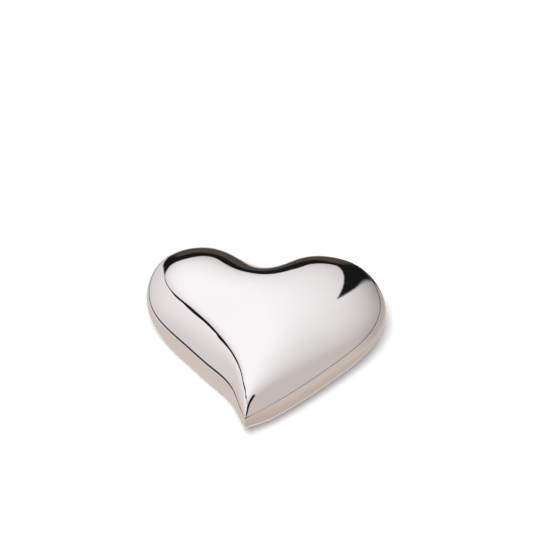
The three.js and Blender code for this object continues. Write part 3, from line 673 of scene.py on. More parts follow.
def base_outer():
    e = 0.15
    rings = []
    wf = math.acos((Z_WIDE - FOOT_LEVEL) / BELLY)
    for a in np.linspace(wf, math.pi / 2, 46)[:-1]:  # from the foot up to the widest level
        rings.append(base_ring(-BELLY * math.cos(a)))
    rings.append(base_ring(0.0))
    for f in np.linspace(0, 1, 10)[1:-1]:
        rings.append(rim_ring((BASE_RIM - e * RIM_EDGE) * f, 0.0, 0.0, True))
    for i, d in arc(6, e):
        rings.append(rim_ring(BASE_RIM - d * RIM_EDGE, 0.0, i * RIM_EDGE, True))
    return rings


def build_base():
    zf = FOOT_LEVEL - Z_WIDE
    foot = belly_level(zf, BELLY)
    rings = [[(CENTRE.real, CENTRE.imag, 1.7 - Z_WIDE)]]
    rings += [flat(s, 1.7 - Z_WIDE) for s in (0.06, 0.13, 0.22, 0.33, 0.45, 0.57, 0.69, 0.774)]
    rings += [flat(FELT_RECESS, 1.6 - Z_WIDE), flat(FELT_RECESS, zf + 0.1), flat(FELT_RECESS + 0.003, zf)]
    rings += [flat(foot - 0.012, zf), flat(foot - 0.004, zf + 0.02)]
    rings += base_outer()
    for i, d in reversed(arc(4, 0.12)):  # the rim's inner edge
        rings.append(rim_ring(BASE_RIM - d, WALL, -i, True))
    for f in np.linspace(0.92, 0, 6)[:-1]:
        rings.append(rim_ring(BASE_RIM * f, WALL, 0.0, True))
    rings.append(base_ring(0.0, WALL))
    depth = BELLY - WALL
    wi = math.acos((Z_WIDE - FLOOR_IN) / depth)
    for a in np.linspace(math.pi / 2, wi, 22)[1:]:
        rings.append(base_ring(-depth * math.cos(a), WALL))
    sf = belly_level(FLOOR_IN - Z_WIDE, depth) * 0.96
    rings += [flat(sf * k, FLOOR_IN - Z_WIDE) for k in (0.98, 0.8, 0.6, 0.42, 0.27, 0.15, 0.07)]
    rings += [[(CENTRE.real, CENTRE.imag, FLOOR_IN - Z_WIDE)]]
    return loft("base_body", rings, SILVER)


def build_lid():
    e = 0.1
    top = crown(CENTRE, 0.0, CROWN)
    rings = [[(CENTRE.real, CENTRE.imag, top)]]
    s0 = upper_level(LID_RIM + e * RIM_EDGE)
    for w in np.linspace(0, math.pi / 2, 74)[1:-1]:
        rings.append(upper_point(s0 * math.sin(w)))
    for i, d in arc(6, e):
        rings.append(rim_ring(LID_RIM + d * RIM_EDGE, 0.0, i * RIM_EDGE, False))
    for i, d in reversed(arc(4, 0.12)):
        rings.append(rim_ring(LID_RIM + d, WALL, -i, False))
    si = upper_level(LID_RIM + 0.12, WALL)
    for w in np.linspace(math.pi / 2, 0, 30)[1:-1]:
        rings.append(upper_point(si * math.sin(w), WALL))
    rings.append([(CENTRE.real, CENTRE.imag, crown(CENTRE, 0.0, CROWN - WALL))])
    return loft("lid_body", rings, SILVER)


base_body = build_base()
lid_body = build_lid()
for hx in HX:
    cut(base_body, block(hx - 5.5, hx + 5.9, HY - 8, HY + 4, HV - 1.27, HV + 4, 0.25))
    cut(lid_body, block(hx - 5.5, hx + 5.9, HY - 8, HY + 4, HV - 4, HV + 1.27, 0.25))
for ob in (base_body, lid_body):
    sharp_edges(ob, 32)
# the rims' meeting faces take the painted seam shade
paint_joint_face_shade(base_body, SEAM - SEAM_GAP / 2)
paint_joint_face_shade(lid_body, SEAM + SEAM_GAP / 2)
settle(base_body, "base", "shell_metal", "base_shell")
settle(lid_body, "lid", "shell_metal", "lid_shell")

# ------------------------------------------------------------------ what the pieces inside are measured from
HINGE_R, HINGE_BORE, PIN_R, PIN_HEAD = 0.92, 0.64, 0.36, 0.66
HINGE_W, HINGE_MID, HINGE_GAP, LEAF_T = 8.4, 3.2, 0.3, 0.5
LEAF_DOWN, LEAF_UP = 5.4, 4.2
RIVET_HEAD, RIVET_HEAD_H, RIVET_SHANK, RIVET_HOLE, RIVET_DEEP = 1.15, 0.45, 0.5, 0.8, 0.85
RIVET_SPREAD, RIVET_LOW, RIVET_HIGH = 2.6, 3.5, 2.5
CX, CY = CENTRE.real, CENTRE.imag
TRAY_TOP, TRAY_THICK, TRAY_FLOOR, TRAY_SKIN = SEAM - 0.65, 0.8, -6.2, 0.9
PULL = 0.23 * near_tip(14)
MAGNET_AT = (1.3, -22.6)


def wall_behind(hx, z):
    p = inner_wall(z, 0.0)[::2]
    e = EDGE[::2]
    use = (e.imag >= 8) & (abs(e.real - hx) <= 18) & (abs(p[:, 0] - hx) < HINGE_W / 2 + 0.9)
    return max(0.0, float((HY - p[use, 1]).max()))


def leaf_places():
    out = []
    for hx in HX:
        down = max(wall_behind(hx, HV + v) for v in (0.4, 0, -2.5, -LEAF_DOWN)) + 0.35
        v0 = HINGE_GAP / 2 + LEAF_T
        u0 = wall_behind(hx, HV + v0) + 0.5
        u1 = wall_behind(hx, HV + LEAF_UP) + 0.7
        out.append(dict(hx=hx, down=down, v0=v0, u0=u0, u1=u1, a=math.atan2(u1 - u0, LEAF_UP - v0)))
    return out


LEAVES = leaf_places()


def blend_rings(a, b, c, steps):
    """Rings on a bend from ring a to ring c, drawn towards ring b."""
    a, b, c = (np.asarray(q, float) for q in (a, b, c))
    return [(1 - t) ** 2 * a + 2 * t * (1 - t) * b + t * t * c for t in np.linspace(0, 1, steps)]


def extruded(name, points, x0, x1, r=0.0, rx=0.0, mat=None):
    """A profile of (distance inwards from the hinge axis, height over it) drawn out along X, its corners rounded by r
    and its two ends by rx."""
    P = [np.array(p, float) for p in points]
    prof = []
    n = len(P)
    for i in range(n):
        a, b = P[i - 1] - P[i], P[(i + 1) % n] - P[i]
        la, lb = np.linalg.norm(a), np.linalg.norm(b)
        q = min(r, la * 0.45, lb * 0.45)
        if q <= 0.001:
            prof.append(P[i])
            continue
        s, e = P[i] + a / la * q, P[i] + b / lb * q
        prof += [(1 - t) ** 2 * s + 2 * t * (1 - t) * P[i] + t * t * e for t in np.linspace(0, 1, 5)]
    me = bpy.data.meshes.new(name)
    ob = bpy.data.objects.new(name, me)
    SCENE.collection.objects.link(ob)
    bm = bmesh.new()
    lo = [bm.verts.new((x0, HY - u, HV + v)) for u, v in prof]
    hi = [bm.verts.new((x1, HY - u, HV + v)) for u, v in prof]
    k = len(prof)
    ends = [bm.faces.new(lo), bm.faces.new(hi[::-1])]
    for i in range(k):
        bm.faces.new((lo[i], hi[i], hi[(i + 1) % k], lo[(i + 1) % k]))
    if rx:
        edges = list({e for f in ends for e in f.edges})
        bmesh.ops.bevel(bm, geom=edges, offset=rx, segments=2, profile=0.5, affect="EDGES", clamp_overlap=True)
    bmesh.ops.recalc_face_normals(bm, faces=bm.faces)
    for v in bm.verts:
        v.co = Vector((v.co.x, v.co.y + SHIFT_Y, v.co.z + Z_WIDE)) * MM
    bm.to_mesh(me)
    bm.free()
    if mat is not None:
        me.materials.append(mat)
    return ob


def swept(name, sections, mat=None, closed=False, r=0.0):
    """A skin over sections of equal point counts; open sweeps end in caps drawn in by r."""
    S = [np.asarray(s, float) for s in sections]
    if not closed and r > 0:
        for end in (0, -1):
            s, nxt = S[end], S[1 if end == 0 else -2]
            c = s.mean(0)
            t = c - nxt.mean(0)
            t /= np.linalg.norm(t)
            d = s - c
            far = np.linalg.norm(d, axis=1)[:, None]
            extra = [c + d * (1 - r * (1 - math.cos(a)) / far) + t * r * math.sin(a) for a in (0.5, 1.05, math.pi / 2)]
            S = (extra[::-1] + S) if end == 0 else (S + extra)
    m = len(S[0])
    verts = np.vstack(S)
    faces = []
    for i in range(len(S) - (0 if closed else 1)):
        a, b = i * m, ((i + 1) % len(S)) * m
        faces += [(a + k, b + k, b + (k + 1) % m, a + (k + 1) % m) for k in range(m)]
    if not closed:
        faces.append(tuple(range(m - 1, -1, -1)))
        o = (len(S) - 1) * m
        faces.append(tuple(range(o, o + m)))
    return new_object(name, verts, faces, mat)


# ------------------------------------------------------------------ collar, tray and foot
def build_collar():
    x, y = EDGE.real, EDGE.imag
    gone = (y > 20) & (x > HX[0] - 7) & (x < HX[1] + 7)
    keep = np.flatnonzero(~gone)
    cutoff = int(np.flatnonzero(np.diff(keep) > 1)[0]) + 1
    order = np.r_[keep[cutoff:], keep[:cutoff]]
    zb, zt = SEAM - 2.4, SEAM + 1.15
    prof = round_profile([(0.78, zb), (0.45, zb, 0.1), (0.45, zt, 0.31), (1.1, zt, 0.31), (1.1, zb, 0.1), (0.78, zb)], 0.1, 4)[:-1]
    # two extra levels along each flank, so that the band follows the wall's curve
    flank = lambda a, b: [(a[0], a[1] + (b[1] - a[1]) * t) for t in (0.25, 0.5, 0.75)]
    full = []
    for i, p in enumerate(prof):
        full.append(p)
        q = prof[(i + 1) % len(prof)]
        if abs(q[1] - p[1]) > 1.5:
            full += flank(p, q)
    P = np.stack([inner_wall(z, g) for g, z in full], 1)  # column, section point, xyz
    return swept("centring_collar", [P[j] for j in order], COLLAR, r=0.2)


def tray_level(f):
    return 0.8 - PULL - 0.11 * f**2.6


def tray_wall(f, skin):
    z0 = TRAY_TOP - (TRAY_THICK if skin else 0)
    z1 = TRAY_FLOOR + (0 if skin else TRAY_SKIN)
    p = plan(tray_level(f) + (TRAY_SKIN / SPAN if skin else 0))
    return np.stack([p.real, p.imag, np.full(N, z0 + (z1 - z0) * f)], 1)


def on_level(s, z):
    p = plan(s)
    return np.stack([p.real, p.imag, np.full(N, float(z))], 1)


def build_tray():
    zi = TRAY_FLOOR + TRAY_SKIN
    floor_edge = tray_level(1.0)
    def edge(z, inset=0.0):
        p = inner_wall(TRAY_TOP, 1.6 + inset)
        p[:, 2] = z
        return p
    rings = [[(CX, CY, TRAY_FLOOR)]]
    rings += [on_level(floor_edge * k, TRAY_FLOOR) for k in (0.1, 0.25, 0.45, 0.65, 0.84)]
    bend = tray_wall(0.995, True)
    bend[:, 2] = TRAY_FLOOR
    rings += blend_rings(on_level(floor_edge * 0.93, TRAY_FLOOR), bend, tray_wall(0.9, True), 5)
    rings += [tray_wall(f, True) for f in (0.8, 0.68, 0.55, 0.42, 0.28, 0.14)]
    under = tray_wall(0.0, True)
    rings += blend_rings(tray_wall(0.05, True), under, (under * 0.9 + edge(TRAY_TOP - TRAY_THICK) * 0.1), 4)
    rings += [edge(TRAY_TOP - TRAY_THICK, 0.15), edge(TRAY_TOP - TRAY_THICK + 0.05, 0.05), edge(TRAY_TOP - TRAY_THICK + 0.15)]
    rings += [edge(TRAY_TOP - 0.15), edge(TRAY_TOP - 0.05, 0.05), edge(TRAY_TOP, 0.15)]
    roll = 0.75
    for a in np.linspace(0, math.pi / 2, 8):
        rings.append(on_level(tray_level(0.0) + roll * (1 - math.sin(a)) / SPAN, TRAY_TOP - roll * (1 - math.cos(a))))
    f0 = roll / (TRAY_TOP - zi)
    rings += [tray_wall(f, False) for f in np.linspace(f0, 0.82, 10)[1:]]
    corner = tray_wall(1.0, False)
    rings += blend_rings(tray_wall(0.86, False), corner, on_level(floor_edge * 0.93, zi), 7)
    rings += [on_level(floor_edge * k, zi) for k in (0.84, 0.65, 0.45, 0.25, 0.1)]
    rings += [[(CX, CY, zi)]]
    ob = loft("flocked_tray", rings, FLOCK)
    for q in LEAVES:
        w = HINGE_W / 2 + 0.5
        cut(ob, block(q["hx"] - w, q["hx"] + w, HY - q["down"] - LEAF_T - 0.4, HY + 5, -5, 8, 0.3))
    return sharp_edges(ob, 40)


def build_felt():
    zt = 1.4 - Z_WIDE
    zb = -Z_WIDE
    e = 0.18
    rings = [[(CX, CY, zb)]]
    rings += [flat(s, zb) for s in (0.08, 0.18, 0.32, 0.46, 0.6, 0.7)]
    rings += [np.c_[flat(FELT_LEVEL, FOOT_LEVEL - Z_WIDE)[:, :2] * 1.0, np.full(N, zb + e)]]
    rim = flat(FELT_LEVEL, FOOT_LEVEL - Z_WIDE)
    inner = flat(FELT_LEVEL - e / 28, FOOT_LEVEL - Z_WIDE)
    lo = lambda r, z: np.c_[r[:, :2], np.full(N, z)]
    rings[-1:] = blend_rings(lo(inner, zb), lo(rim, zb), lo(rim, zb + e), 4)
    rings += blend_rings(lo(rim, zt - e), lo(rim, zt), lo(inner, zt), 4)
    rings += [flat(s, zt) for s in (0.7, 0.6, 0.46, 0.32, 0.18, 0.08)]
    rings += [[(CX, CY, zt)]]
    return loft("felt_foot", rings, FELT)


# ------------------------------------------------------------------ soft pads
def loop_distance(points, loop):
    """Distance in plan from each point to a closed loop, and how far round the loop its nearest place is."""
    a, b = loop[:, :2], np.roll(loop, -1, axis=0)[:, :2]
    d = b - a
    q = points[:, None, :2] - a
    t = np.clip((q * d).sum(2) / ((d * d).sum(1) + 1e-12), 0, 1)
    e = np.linalg.norm(q - t[:, :, None] * d, axis=2)
    i = e.argmin(1)
    row = np.arange(len(points))
    return e[row, i], (i + t[row, i]) / len(loop)


def stuffed(name, rings, rim, mid, voxel, pressure, cap, stiff):
    """A stuffed form: the closed skin through rings is remeshed, blown up as cloth held along its rim, and drawn back
    to its size. rim is the loop of the seam, mid its height per point."""
    k = 10.0  # simulated ten times as large, where cloth behaves as it does on a full-size cushion
    ob = loft(name, rings, None, thin=False)
    me = ob.data
    co = np.empty(len(me.vertices) * 3)
    me.vertices.foreach_get("co", co)
    me.vertices.foreach_set("co", co * k)
    me.update()
    m = ob.modifiers.new("remesh", "REMESH")
    m.mode = "VOXEL"
    m.voxel_size = voxel * k * MM
    m.use_smooth_shade = True
    bpy.context.view_layer.update()
    apply_modifiers(ob)
    me = ob.data
    n = len(me.vertices)
    co = np.empty(n * 3)
    me.vertices.foreach_get("co", co)
    start = co.reshape(-1, 3).copy()
    flatp = start / k / MM
    flatp[:, 1] -= SHIFT_Y
    flatp[:, 2] -= Z_WIDE
    near, round_ = loop_distance(flatp, rim)
    height = np.interp(round_ * len(rim), np.arange(len(rim) + 1), np.r_[mid, mid[:1]])
    held = (near < voxel * 1.6) & (abs(flatp[:, 2] - height) < voxel * 1.1)
    g = ob.vertex_groups.new(name="held")
    g.add([int(i) for i in np.flatnonzero(held)], 1.0, "REPLACE")
    c = ob.modifiers.new("cloth", "CLOTH")
    s = c.settings
    s.quality = 5
    s.mass = 0.3
    s.tension_stiffness = s.compression_stiffness = stiff
    s.shear_stiffness = stiff / 3
    s.bending_stiffness = 0.35
    s.use_pressure = True
    s.uniform_pressure_force = pressure
    s.vertex_group_mass = "held"
    s.effector_weights.gravity = 0.0
    c.collision_settings.use_collision = False
    c.collision_settings.use_self_collision = False
    c.point_cache.frame_start, c.point_cache.frame_end = 1, 20
    for f in range(1, 21):
        SCENE.frame_set(f)
    ev = ob.evaluated_get(bpy.context.evaluated_depsgraph_get()).to_mesh()
    out = np.empty(n * 3)
    ev.vertices.foreach_get("co", out)
    out = out.reshape(-1, 3)
    ob.modifiers.remove(c)
    SCENE.frame_set(1)
    move = out - start
    far = np.linalg.norm(move, axis=1)
    lim = cap * k * MM
    move *= (lim * np.tanh(far / lim) / np.maximum(far, 1e-9))[:, None]
    start = start + move
    me.vertices.foreach_set("co", start.ravel())
    me.update()
    sub = ob.modifiers.new("smooth", "SUBSURF")
    sub.levels = sub.render_levels = 1
    bpy.context.view_layer.update()
    apply_modifiers(ob)
    me = ob.data
    n = len(me.vertices)
    co = np.empty(n * 3)
    me.vertices.foreach_get("co", co)
    co = co.reshape(-1, 3) / k / MM
    co[:, 1] -= SHIFT_Y
    co[:, 2] -= Z_WIDE
    return ob, co


def put_back(ob, co, mat):
    co = co.copy()
    co[:, 1] += SHIFT_Y
    co[:, 2] += Z_WIDE
    ob.data.vertices.foreach_set("co", (co * MM).ravel())
    ob.data.update()
    ob.data.polygons.foreach_set("use_smooth", [True] * len(ob.data.polygons))
    ob.data.materials.clear()
    ob.data.materials.append(mat)
    return ob


def gathers(round_, count, seed):
    """Uneven folds along a seam: count of them round the loop, as heights from -1 to 1."""
    rng = np.random.default_rng(seed)
    out = np.zeros_like(round_)
    for c, a in ((count, 1.0), (round(count * 0.61), 0.7), (round(count * 1.47), 0.5)):
        out += a * np.cos(2 * np.pi * (c * round_ + rng.random()) + 1.5 * np.sin(2 * np.pi * (3 * round_ + rng.random())))
    return out / 2.2


def piping(name, path, r, mat, sides=10, twist=0.0, pitch=1.6):
    """A cord sewn along a closed path, round or laid up from two strands."""
    t = np.roll(path, -1, 0) - np.roll(path, 1, 0)
    t /= np.linalg.norm(t, axis=1)[:, None]
    up = np.array([0, 0, 1.0])
    u = np.cross(t, up)
    u /= np.linalg.norm(u, axis=1)[:, None]
    v = np.cross(u, t)
    step = np.linalg.norm(np.roll(path, -1, 0) - path, axis=1)
    L = np.r_[0, np.cumsum(step)[:-1]]
    turns = max(1, round(step.sum() / pitch))
    S = []
    for i in range(len(path)):
        a = np.arange(sides) * 2 * np.pi / sides
        q = r * (1 + twist * np.cos(2 * (a - 2 * np.pi * turns * L[i] / step.sum() / 2)))
        S.append(path[i] + (q * np.cos(a))[:, None] * u[i] + (q * np.sin(a))[:, None] * v[i])
    return swept(name, S, mat, closed=True)


def resampled(loop, count):
    P = np.vstack([loop, loop[:1]])
    L = np.r_[0, np.cumsum(np.linalg.norm(np.diff(P, axis=0), axis=1))]
    w = np.linspace(0, L[-1], count, endpoint=False)
    return np.stack([np.interp(w, L, P[:, i]) for i in range(3)], 1)


def build_cushion():
    z0 = TRAY_FLOOR + TRAY_SKIN + 0.35
    top = z0 + 4.05
    seam_z = z0 + 1.15
    lv = tray_level(1.0) - 1.5 / SPAN
    ring = lambda k, z: on_level(lv * k, z)
    rings = [[(CX, CY, z0 + 0.1)]]
    rings += [ring(k, z0 + 0.1) for k in (0.15, 0.35, 0.55, 0.75)]
    rings += [ring(0.9, z0 + 0.15), ring(0.96, z0 + 0.35), ring(0.995, z0 + 0.8), ring(1.0, seam_z), ring(0.99, seam_z + 0.4)]
    rings += [ring(k, seam_z + 0.4 + 1.5 * (1 - ((k - 0.05) / 0.94) ** 3.0)) for k in (0.93, 0.84, 0.72, 0.58, 0.42, 0.26, 0.12)]
    rings += [[(CX, CY, seam_z + 1.9)]]
    loop = resampled(on_level(lv, seam_z), 220)
    ob, co = stuffed("velvet_cushion", rings, loop, np.full(220, seam_z), 0.55, 4.0, 1.1, 9.0)
    near, round_ = loop_distance(co, loop)
    up = co[:, 2] > seam_z
    pull = np.exp(-((near / 3.2) ** 1.4)) * (1 - np.exp(-((near / 0.5) ** 2)))
    co[:, 2] += np.where(up, 0.2, 0.08) * gathers(round_, 46, 7) * pull
    # the top stays under the height that the pocket leaves, the underside lies flat on the tray
    high = co[:, 2].max()
    f = (top - 0.05 - seam_z) / (high - seam_z)
    co[:, 2] = np.where(co[:, 2] > seam_z, seam_z + (co[:, 2] - seam_z) * f, co[:, 2])
    low = z0 + 0.02
    co[:, 2] = np.where(co[:, 2] < low + 0.3, low + 0.3 * np.exp(np.minimum(0, (co[:, 2] - low - 0.3) / 0.3)), co[:, 2])
    put_back(ob, co, VELVET)
    cord = piping("cushion_piping", resampled(on_level(tray_level(1.0) - 1.35 / SPAN, seam_z), 620), 0.42, VELVET, 12)
    return ob, cord


def liner_start(extra):
    return upper_level(SEAM + 1.95, WALL + 0.8 + extra) - 2.2 / SPAN - 0.19 * near_tip(13)


def build_liner():
    z0, zf = SEAM + 0.55, SEAM + 1.35
    t, skin = WALL + 0.8, 0.9
    so, si = liner_start(0.0), liner_start(skin)
    rings = [[(CX, CY, crown(CENTRE, 0.0, CROWN - t))]]
    for w in np.linspace(0, 84, 20)[1:]:
        rings.append(upper_point(so * math.sin(math.radians(w)), t))
    top_o = upper_point(so, t)
    lip_o = np.c_[top_o[:, :2], np.full(N, zf)]
    edge = inner_wall(SEAM + 1.35, 1.65)
    edge_in = inner_wall(SEAM + 1.35, 1.8)
    lev = lambda r, z: np.c_[r[:, :2], np.full(N, z)]
    rings += blend_rings(rings[-1], top_o, top_o * 0.6 + lip_o * 0.4, 5)[1:]
    rings += blend_rings(top_o * 0.2 + lip_o * 0.8, lip_o, lip_o * 0.9 + lev(edge, zf) * 0.1, 4)
    rings += blend_rings(lev(edge_in, zf), lev(edge, zf), lev(edge, zf - 0.15), 4)
    rings += blend_rings(lev(edge, z0 + 0.15), lev(edge, z0), lev(edge_in, z0), 4)
    top_i = upper_point(si, t + skin)
    lip_i = lev(top_i, z0)
    out = edge_in[:, :2] - top_i[:, :2]
    wide = np.linalg.norm(out, axis=1)[:, None]
    near_lip = np.c_[top_i[:, :2] + out / wide * np.minimum(0.8, wide * 0.5), np.full(N, z0)]
    rings += blend_rings(near_lip, lip_i, lip_i * 0.45 + top_i * 0.55, 7)
    first = upper_point(si * math.sin(math.radians(80)), t + skin)
    rings += blend_rings(lip_i * 0.25 + top_i * 0.75, top_i, first, 6)
    for w in np.linspace(80, 0, 18)[1:-1]:
        rings.append(upper_point(si * math.sin(math.radians(w)), t + skin))
    rings.append([(CX, CY, crown(CENTRE, 0.0, CROWN - t - skin))])
    ob = loft("satin_liner", rings, SATIN)
    for q in LEAVES:
        f = (LEAF_UP + 0.25 - q["v0"]) * math.tan(q["a"])
        g = 1.35 / math.cos(q["a"]) + 0.2
        u0, v0 = q["u0"], q["v0"]
        w = HINGE_W / 2 + 0.3
        cut(ob, extruded("room", [(-6, -2), (u0 + g, -2), (u0 + g, v0), (u0 + g + f, LEAF_UP + 0.25), (-6, LEAF_UP + 0.25)],
                         q["hx"] - w, q["hx"] + w, 0.25, 0.2))
    return sharp_edges(ob, 40)


def build_lid_pad():
    t = WALL + 0.8 + 0.9 + 0.35
    s0 = liner_start(0.9) * 0.8
    def ring(w, drop):
        p = upper_point(s0 * math.sin(math.radians(w)), t)
        p[:, 2] -= drop
        return p
    top = crown(CENTRE, 0.0, CROWN - t)
    rings = [[(CX, CY, top - 0.1)]]
    rings += [ring(w, 0.1) for w in (8, 18, 28, 39, 50, 61, 71)]
    rings += [ring(79, 0.2), ring(86, 0.45), ring(90, 0.8), ring(86, 1.15), ring(79, 1.4)]
    rings += [ring(w, 1.4 + 0.9 * (1 - (w / 79) ** 2.0)) for w in (71, 61, 50, 39, 28, 18, 8)]
    rings += [[(CX, CY, top - 2.35)]]
    rim = ring(90, 0.8)
    loop = resampled(rim, 220)
    ob, co = stuffed("satin_pad", rings, loop, loop[:, 2], 0.55, 4.0, 0.9, 9.0)
    near, round_ = loop_distance(co, loop)
    height = np.interp(round_ * 220, np.arange(221), np.r_[loop[:, 2], loop[:1, 2]])
    # on the back the pad follows the liner; the front is the side that shows when the lid is up
    reach = np.exp(-((near / 5.0) ** 1.3)) * (1 - np.exp(-((near / 0.45) ** 2)))
    front = co[:, 2] < np.interp(near, [0, 3], [0.0, -0.6]) + height + 0.6
    co[:, 2] += np.where(front, -0.24, 0.05) * gathers(round_, 58, 11) * reach
    put_back(ob, co, SATIN)
    return ob, piping("pad_cord", resampled(rim, 900), 0.36, CORD_SATIN, 12, 0.3, 1.5)


# ------------------------------------------------------------------ hinges, rivets and the magnet catch
def barrel(name, x0, x1, r):
    L = x1 - x0
    return turned(name, round_profile([(0, 0), (r, 0, 0.07), (r, L, 0.07), (0, L)], 0.07, 3), (x0, HY, HV), (1, 0, 0), None, 56)


def build_leaf(tag, q, kind):
    hx = q["hx"]
    x0, x1 = hx - HINGE_W / 2, hx + HINGE_W / 2
    if kind == "base":
        top = -HINGE_GAP / 2
        prof = [(0, top - LEAF_T), (q["down"], top - LEAF_T), (q["down"], -LEAF_DOWN), (q["down"] + LEAF_T, -LEAF_DOWN),
                (q["down"] + LEAF_T, top), (0, top)]
    else:
        lt, c, s = HINGE_GAP / 2, math.cos(q["a"]), math.sin(q["a"])
        prof = [(0, lt), (q["u0"] + LEAF_T / c - LEAF_T * (s / c), lt), (q["u1"] + LEAF_T * c, LEAF_UP - LEAF_T * s),
                (q["u1"], LEAF_UP), (q["u0"], lt + LEAF_T), (0, lt + LEAF_T)]
    ob = extruded(f"{kind}_hinge_leaf_{tag}", prof, x0, x1, 0.16, 0.08, HINGE_METAL)
    back = HY - HINGE_R - HINGE_GAP - 0.1
    half = HINGE_MID / 2
    if kind == "base":
        cut(ob, block(hx - half - HINGE_GAP, hx + half + HINGE_GAP, back, HY + 3, HV - 3, HV + 3, 0.05, 2))
        parts = [(x0, hx - half - HINGE_GAP), (hx + half + HINGE_GAP, x1)]
    else:
        cut(ob, block(hx - HINGE_W, hx - half, back, HY + 3, HV - 3, HV + 3, 0.05, 2))
        cut(ob, block(hx + half, hx + HINGE_W, back, HY + 3, HV - 3, HV + 3, 0.05, 2))
        parts = [(hx - half, hx + half)]
    for a, b in parts:
        cut(ob, barrel("barrel", a, b, HINGE_R), "UNION")
    cut(ob, turned("bore", [(0, 0), (HINGE_BORE, 0), (HINGE_BORE, HINGE_W + 4), (0, HINGE_W + 4)], (hx - HINGE_W / 2 - 2, HY, HV), (1, 0, 0), None, 48))
    for dx in (-RIVET_SPREAD, RIVET_SPREAD):
        at, axis = rivet_place(q, kind, dx)
        start = np.asarray(at) - np.asarray(axis) * 3
        cut(ob, turned("hole", [(0, 0), (RIVET_HOLE, 0), (RIVET_HOLE, 6), (0, 6)], start, axis, None, 40))
    return sharp_edges(ob, 30)


def rivet_place(q, kind, dx):
    """Where the leaf's inner face is at a rivet, and the way the rivet's head looks."""
    if kind == "base":
        return (q["hx"] + dx, HY - q["down"] - LEAF_T, HV - RIVET_LOW), (0, -1, 0)
    nu, nv = math.cos(q["a"]), -math.sin(q["a"])
    uc = q["u0"] + (RIVET_HIGH - q["v0"]) * math.tan(q["a"])
    return (q["hx"] + dx, HY - uc - nu * LEAF_T, HV + RIVET_HIGH + nv * LEAF_T), (0, -nu, nv)


def build_rivet(name, q, kind, dx):
    grip = LEAF_T + 0.3 + 0.35
    end = -RIVET_DEEP + 0.3 - grip
    prof = round_profile([(0, end), (RIVET_SHANK, end, 0.1), (RIVET_SHANK, 0.15), (RIVET_HEAD - 0.02, 0.15, 0.06), (RIVET_HEAD, 0.22)], 0.0, 3)
    dome = [(RIVET_HEAD * math.cos(a), 0.22 + (RIVET_HEAD_H - 0.07) * math.sin(a)) for a in np.linspace(0, math.pi / 2, 9)[1:-1]]
    at, axis = rivet_place(q, kind, dx)
    return turned(name, prof + dome + [(0, 0.15 + RIVET_HEAD_H)], at, axis, STEEL, 40)


def build_pin(name, q):
    e = HINGE_W / 2 + 0.1
    cap = [(PIN_HEAD * math.cos(a), e + 0.04 + 0.21 * math.sin(a)) for a in np.linspace(0, math.pi / 2, 6)[:-1]]
    prof = [(0, -e - 0.25)] + [(r, -h) for r, h in reversed(cap)] + [(PIN_HEAD, -e), (PIN_R, -e), (PIN_R, e), (PIN_HEAD, e)] + cap + [(0, e + 0.25)]
    return sharp_edges(turned(name, prof, (q["hx"], HY, HV), (1, 0, 0), STEEL, 40), 40)


def build_catch():
    mx, my = MAGNET_AT
    zt = TRAY_TOP - TRAY_THICK - 0.35
    post = turned("magnet_holder", round_profile([(0, -14), (3.1, -14), (3.1, 0, 0.12), (2.6, 0, 0.1), (2.6, -2.4, 0.1), (0, -2.4)], 0.0, 3),
                  (mx, my, zt), (0, 0, 1), COLLAR, 64)
    t = WALL + 0.45
    zb = FLOOR_IN + 0.3 - Z_WIDE
    depth = BELLY - t
    wf = math.acos(-zb / depth)
    rings = [[(CX, CY, zb)]]
    rings += [base_ring(-depth * math.cos(a), t) for a in np.linspace(wf, math.pi / 2, 14)]
    rings += [base_ring(SEAM * 0.25, t), base_ring(SEAM * 0.5, t), [(CX, CY, SEAM * 0.5)]]
    cut(post, loft("room", rings, None, thin=False), "INTERSECT")
    sharp_edges(post, 30)
    magnet = turned("disc_magnet", round_profile([(0, -2.1), (2.3, -2.1, 0.2), (2.3, -0.1, 0.2), (0, -0.1)], 0.2, 4), (mx, my, zt), (0, 0, 1), MAGNET, 64)
    zk = SEAM + 1.7
    cup = turned("keeper_holder", round_profile([(0, 1.3), (2.6, 1.3, 0.1), (2.6, 0, 0.1), (3.1, 0, 0.12), (3.1, 6), (0, 6)], 0.0, 3),
                 (mx, my, zk), (0, 0, 1), COLLAR, 64)
    z0 = SEAM + 0.2
    s0 = level_at(z0, t)
    rings = [[(CX, CY, z0)]]
    rings += [upper_point(s0 * math.sin(w), t) for w in np.linspace(math.pi / 2, 0, 16)[:-1]]
    rings += [[(CX, CY, crown(CENTRE, 0.0, CROWN - t))]]
    cut(cup, loft("room", rings, None, thin=False), "INTERSECT")
    sharp_edges(cup, 30)
    keeper = turned("keeper_disc", round_profile([(0, 0.05), (2.3, 0.05, 0.15), (2.3, 0.95, 0.1), (0, 0.95)], 0.1, 4), (mx, my, zk), (0, 0, 1), STEEL, 64)
    return post, magnet, cup, keeper


settle(build_collar(), "base", "collar_metal", "locating_collar")
settle(build_tray(), "base", "tray_flock", "base_tray")
settle(build_felt(), "base", "felt", "felt_pad")
cushion, cord = build_cushion()
settle(cushion, "base", "velvet", "base_cushion")
settle(cord, "base", "velvet")
settle(build_liner(), "lid", "liner_satin", "lid_liner")
pad, cord = build_lid_pad()
settle(pad, "lid", "pad_satin", "lid_pad")
settle(cord, "lid", "pad_satin")
for side, (tag, q) in enumerate(zip(("left", "right"), LEAVES)):
    for kind in ("base", "lid"):
        settle(build_leaf(tag, q, kind), kind, "hinge_metal", f"{kind}_leaf_{tag}")
        for i, dx in enumerate((-RIVET_SPREAD, RIVET_SPREAD)):
            k = side * 2 + i + 1
            settle(build_rivet(f"{kind}_rivet_{k}_domed", q, kind, dx), kind, "rivet_metal", f"{kind}_rivet_{k}")
    settle(build_pin(f"pin_{tag}", q), "base", "pin_steel", f"hinge_pin_{tag}")
post, magnet, cup, keeper = build_catch()
